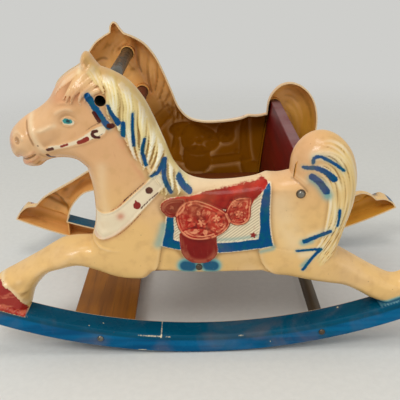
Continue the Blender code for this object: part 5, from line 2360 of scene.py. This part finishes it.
# ---------------------------------------------------------------- the whole horse
def middle(node: str) -> Point:
    """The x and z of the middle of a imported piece."""
    low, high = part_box(node)
    return (low.x + high.x) / 2, (low.z + high.z) / 2


class RockingHorse:
    """Every piece of the horse's look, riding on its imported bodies."""

    SIDES = (("left", -1.0), ("right", 1.0))
    BACK_TILT = 6.4             # degrees
    BACK_FOOT = (0.1229, 0.1745)
    BACK_SIZE = (0.020, 0.155)  # thickness and height of the back board
    BAR_DIAMETER = 0.0222       # of the hand tube and the neck dowel
    TUBE_AT = (-0.144, 0.425)   # x and z of its axis, in metres
    NECK_AT = (-0.120, 0.351)
    SEAT_LENGTH = 0.3620        # of the boards along y, before they are trimmed
    BACK_LENGTH = 0.3480
    FOOT_SIZE = (0.102, 0.3600, 0.018)
    FOOT_AT = -182.0            # x where the foot board lies along the rails, in millimetres
    CUP_RISE = 0.0015           # of a screw's head over the skin on its cup washer
    RIB_AT = -292               # x of the rail's rib, in millimetres
    TRIM_FROM = 0.170           # boards are trimmed beyond this, in metres
    SQUARE_FROM = 0.160         # and bars beyond this

    def __init__(self) -> None:
        """Makes the finishes."""
        effects = Effects()
        self.plastic = SidePaint().make(effects)
        red = PaintedWood("old_red_paint", srgb(106, 3, 0), srgb(134, 98, 96), srgb(168, 118, 62), 0.5)
        self.red_board = red.make(effects)
        # The seat's paint is a guessed brown, picked to match where the seat shows in shade.
        worn = PaintedWood("brown_seat_paint", srgb(132, 68, 14), srgb(122, 60, 16), srgb(160, 104, 44), 0.5)
        self.seat_paint = worn.make(effects)
        self.foot_wood = VarnishedWood("golden_varnish", srgb(152, 92, 8), srgb(130, 76, 6)).make(effects)
        self.red_dowel = VarnishedWood("red_stain", srgb(108, 38, 22), srgb(78, 22, 12), 0.5).make(effects)
        self.dark_dowel = VarnishedWood("dark_stain", srgb(96, 80, 52), srgb(66, 52, 30), 0.5).make(effects)
        tube = OldSteel("tube_steel", srgb(66, 62, 48), srgb(54, 50, 38), 0.5, 0.1)
        self.tube_steel = tube.make(effects)
        dark = OldSteel("dark_screw", srgb(96, 84, 70), srgb(48, 40, 34), 0.6)
        self.dark_screw = dark.make(effects)
        bright = OldSteel("bright_screw", srgb(132, 128, 118), srgb(72, 66, 56), 0.5)
        self.bright_screw = bright.make(effects)

    @staticmethod
    def _hand_in(piece: Thing, slot: str, body: str = "horse", node: str = "") -> None:
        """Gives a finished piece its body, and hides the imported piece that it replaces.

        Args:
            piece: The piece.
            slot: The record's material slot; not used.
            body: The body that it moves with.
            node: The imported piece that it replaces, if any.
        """
        if node:
            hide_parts(node)
        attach(piece, body)
        LOG.info("%s: %d faces, on %s", piece.name, len(piece.data.polygons), body)

    def sides(self) -> None:
        """The two moulded sides and what is moulded inside them."""
        made = SideShell(SideForm()).make(self.plastic)
        bpy.context.view_layer.update()
        self.reach = Reach(made["left"])
        lips = InnerLips(self.reach, self.plastic)
        low, high = (runner(self.RIB_AT, rise)[1] * MM for rise in (2.0, RAIL_HEIGHT - 1.0))
        for word, side in self.SIDES:
            self._hand_in(made[word], "moulded_plastic", node=f"{word}_side_shell")
            for piece in (
                lips.socket(f"{word}_tube_socket", side, self.TUBE_AT, self.BAR_DIAMETER),
                lips.socket(f"{word}_neck_socket", side, self.NECK_AT, self.BAR_DIAMETER),
                lips.arch(f"{word}_back_lip", side, self.BACK_FOOT, self.BACK_SIZE, self.BACK_TILT),
                lips.rib(f"{word}_rail_rib", side, self.RIB_AT * MM, low, high),
            ):
                self._hand_in(piece, "moulded_plastic")

    def boards(self) -> None:
        """Seat, back board and foot board."""
        low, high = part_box("seat_board")
        seat = Board(
            "seat", (high.x - low.x, self.SEAT_LENGTH, high.z - low.z), ((low.x + high.x) / 2, 0.0, low.z))
        low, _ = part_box("back_board")
        lean = math.radians(self.BACK_TILT)
        thick, tall = self.BACK_SIZE
        foot = (low.x + thick / 2 * math.cos(lean), 0.0, low.z + 0.0011)
        back = Board("back_rest", (thick, self.BACK_LENGTH, tall), foot, self.BACK_TILT)
        tilt = math.degrees(math.asin((self.FOOT_AT - RUNNER_LOWEST) / RUNNER_RADIUS))
        x, z = middle("foot_board")
        down = Matrix.Rotation(math.radians(-tilt), 3, "Y") @ Vector((0.0, 0.0, -self.FOOT_SIZE[2] / 2))
        rest = Board("foot_rest", self.FOOT_SIZE, tuple(Vector((x, 0.0, z)) + down), -tilt)
        for board, node, finish, slot in (
            (seat, "seat_board", self.seat_paint, "red_painted_board"),
            (back, "back_board", self.red_board, "red_painted_board"),
            (rest, "foot_board", self.foot_wood, "brown_varnished_board"),
        ):
            self._hand_in(self.reach.trim(board.make(finish), self.TRIM_FROM), slot, node=node)

    def bars(self) -> None:
        """The hand tube and the dowels."""
        for bar, node, body, finish, slot in (
            (Bar("hand_tube_bar", self.TUBE_AT, self.BAR_DIAMETER, wall=0.0016), "head_tube", "hand_tube",
             self.tube_steel, "grey_steel_tube"),
            (Bar("neck_bar_dowel", self.NECK_AT, self.BAR_DIAMETER), "neck_dowel", "neck_bar",
             self.red_dowel, "red_stained_dowel"),
            (Bar("rear_dowel", middle("rear_cross_dowel"), 0.0220), "rear_cross_dowel", "horse",
             self.dark_dowel, "dark_dowel"),
        ):
            self._hand_in(self.reach.square_off(bar.make(finish), self.SQUARE_FROM), slot, body, node)

    def fasteners(self, nodes: dict[str, Thing]) -> None:
        """The screws in the sides, the cup washers and the hidden screws under the back board.

        Args:
            nodes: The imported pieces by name.
        """
        turns = {"seat": 25.0, "back": 70.0, "foot": 12.0, "rear": -35.0}
        screw, cup = RoundHeadScrew().make(self.dark_screw), CupWasher().make(self.dark_screw)
        for word, side in self.SIDES:
            for place, turn in turns.items():
                node = f"{place}_screw_{word}"
                x, z = middle(node)
                under = self.reach.outer(x, z) + (self.CUP_RISE if place == "back" else 0.0)
                at = (x, side * under, z)
                bright = place in ("back", "foot")
                finish = self.bright_screw if bright else self.dark_screw
                piece = copy_of(screw, f"{place}_{word}_screw", at, side, turn * side, finish)
                self._hand_in(piece, "zinc_screw_steel" if bright else "dark_screw_steel", node=node)
            x, z = middle(f"cup_washer_{word}")
            at = (x, side * (self.reach.outer(x, z) - 0.0002), z)
            washer = copy_of(cup, f"{word}_cup", at, side, 0.0, self.dark_screw)
            self._hand_in(washer, "dark_screw_steel", node=f"cup_washer_{word}")
        for pattern in (screw, cup):
            bpy.data.objects.remove(pattern)
        for number in (1, 2, 3):
            node = nodes[f"backrest_screw_{number}"]
            node.data.materials.clear()
            node.data.materials.append(self.bright_screw)


# ---------------------------------------------------------------- camera, floor and light
@dataclass(frozen=True)
class Studio:
    """The camera, the floor and soft lights.

    Attributes:
        eye: Where the camera is, in metres.
        right: The camera's direction to the right.
        up: Its upward direction.
        lens: Its focal length, in millimetres on a 36 mm sensor.
        paper: Colour of the floor.
        fade: Where the floor starts to fade into what is beyond it, and where it ends, in metres.
        surrounding: Strength of the even light from all around.
        beyond: What is seen beyond the floor.
    """

    eye: Place = (-0.013, -0.947, 0.6246)
    right: Place = (0.99974, -0.01024, -0.02026)
    up: Place = (0.02268, 0.41508, 0.90950)
    lens: float = 52.04
    paper: Colour = srgb(224, 223, 216)
    fade: tuple[float, float] = (0.75, 1.9)
    surrounding: float = 0.50
    beyond: Colour = srgb(206, 206, 203)

    def camera(self) -> None:
        """Adds the camera."""
        data = bpy.data.cameras.new("camera")
        data.lens = self.lens
        data.sensor_width = 36.0
        data.clip_start = 0.02
        thing = bpy.data.objects.new("camera", data)
        bpy.context.scene.collection.objects.link(thing)
        right, up = Vector(self.right), Vector(self.up)
        turn = Matrix((right, up, right.cross(up))).transposed()
        thing.matrix_world = Matrix.Translation(self.eye) @ turn.to_4x4()
        bpy.context.scene.camera = thing

    def floor(self) -> None:
        """Adds a floor that fades into the surrounding."""
        material, n = new_material("paper")
        weave = n.noise(90.0, 4.0)
        colour = n.mix(n.step(weave, 0.3, 0.7), self.paper, tuple(c * 0.965 for c in self.paper))
        where = n.add("TexCoord").outputs["Object"]
        from_middle = n.add("VectorMath", {0: where}, operation="LENGTH").outputs["Value"]
        shown = n.step(from_middle, self.fade[1], self.fade[0])
        n.finish(Base_Color=colour, Roughness=0.9, Normal=n.bump(weave, 0.12, 0.002), Alpha=shown)
        deselect()
        bpy.ops.mesh.primitive_circle_add(vertices=96, radius=self.fade[1], fill_type="NGON")
        floor = settle("floor", material)

    def lights(self) -> None:
        """Adds soft lights and an even surrounding."""
        for name, power, size, place, aim in (
            ("key", 24.0, 0.9, (-1.1, -1.5, 2.2), (0.0, 0.0, 0.25)),
            ("fill", 9.0, 2.2, (1.8, -1.7, 1.3), (0.0, 0.0, 0.25)),
            ("top", 10.0, 0.9, (-0.1, -0.3, 2.3), (0.0, 0.1, 0.2)),
        ):
            data = bpy.data.lights.new(name, "AREA")
            data.energy = power
            data.size = size
            light = bpy.data.objects.new(name, data)
            bpy.context.scene.collection.objects.link(light)
            light.location = place
            light.rotation_euler = (Vector(aim) - Vector(place)).to_track_quat("-Z", "Y").to_euler()
        world = bpy.data.worlds.new("surrounding")
        bpy.context.scene.world = world
        world.use_nodes = True
        n = Nodes(world.node_tree)
        path = n.add("LightPath").outputs
        seen = n.math("MAXIMUM", path["Is Camera Ray"], path["Is Transmission Ray"])
        seen = n.math("MAXIMUM", seen, path["Is Glossy Ray"])
        background = world.node_tree.nodes["Background"]
        n.put(background.inputs["Color"], n.mix(seen, (self.surrounding,) * 3, self.beyond))
        bpy.context.scene.view_settings.view_transform = "Standard"


def main() -> None:
    """Builds the look."""
    logging.basicConfig(level=logging.INFO, format="%(name)s: %(message)s")
    for thing in list(bpy.data.objects):
        bpy.data.objects.remove(thing, do_unlink=True)
    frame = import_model()
    horse = RockingHorse()
    horse.sides()
    horse.boards()
    horse.bars()
    horse.fasteners(frame["nodes"])
    studio = Studio()
    studio.camera()
    studio.floor()
    studio.lights()


if __name__ == "__main__":
    main()
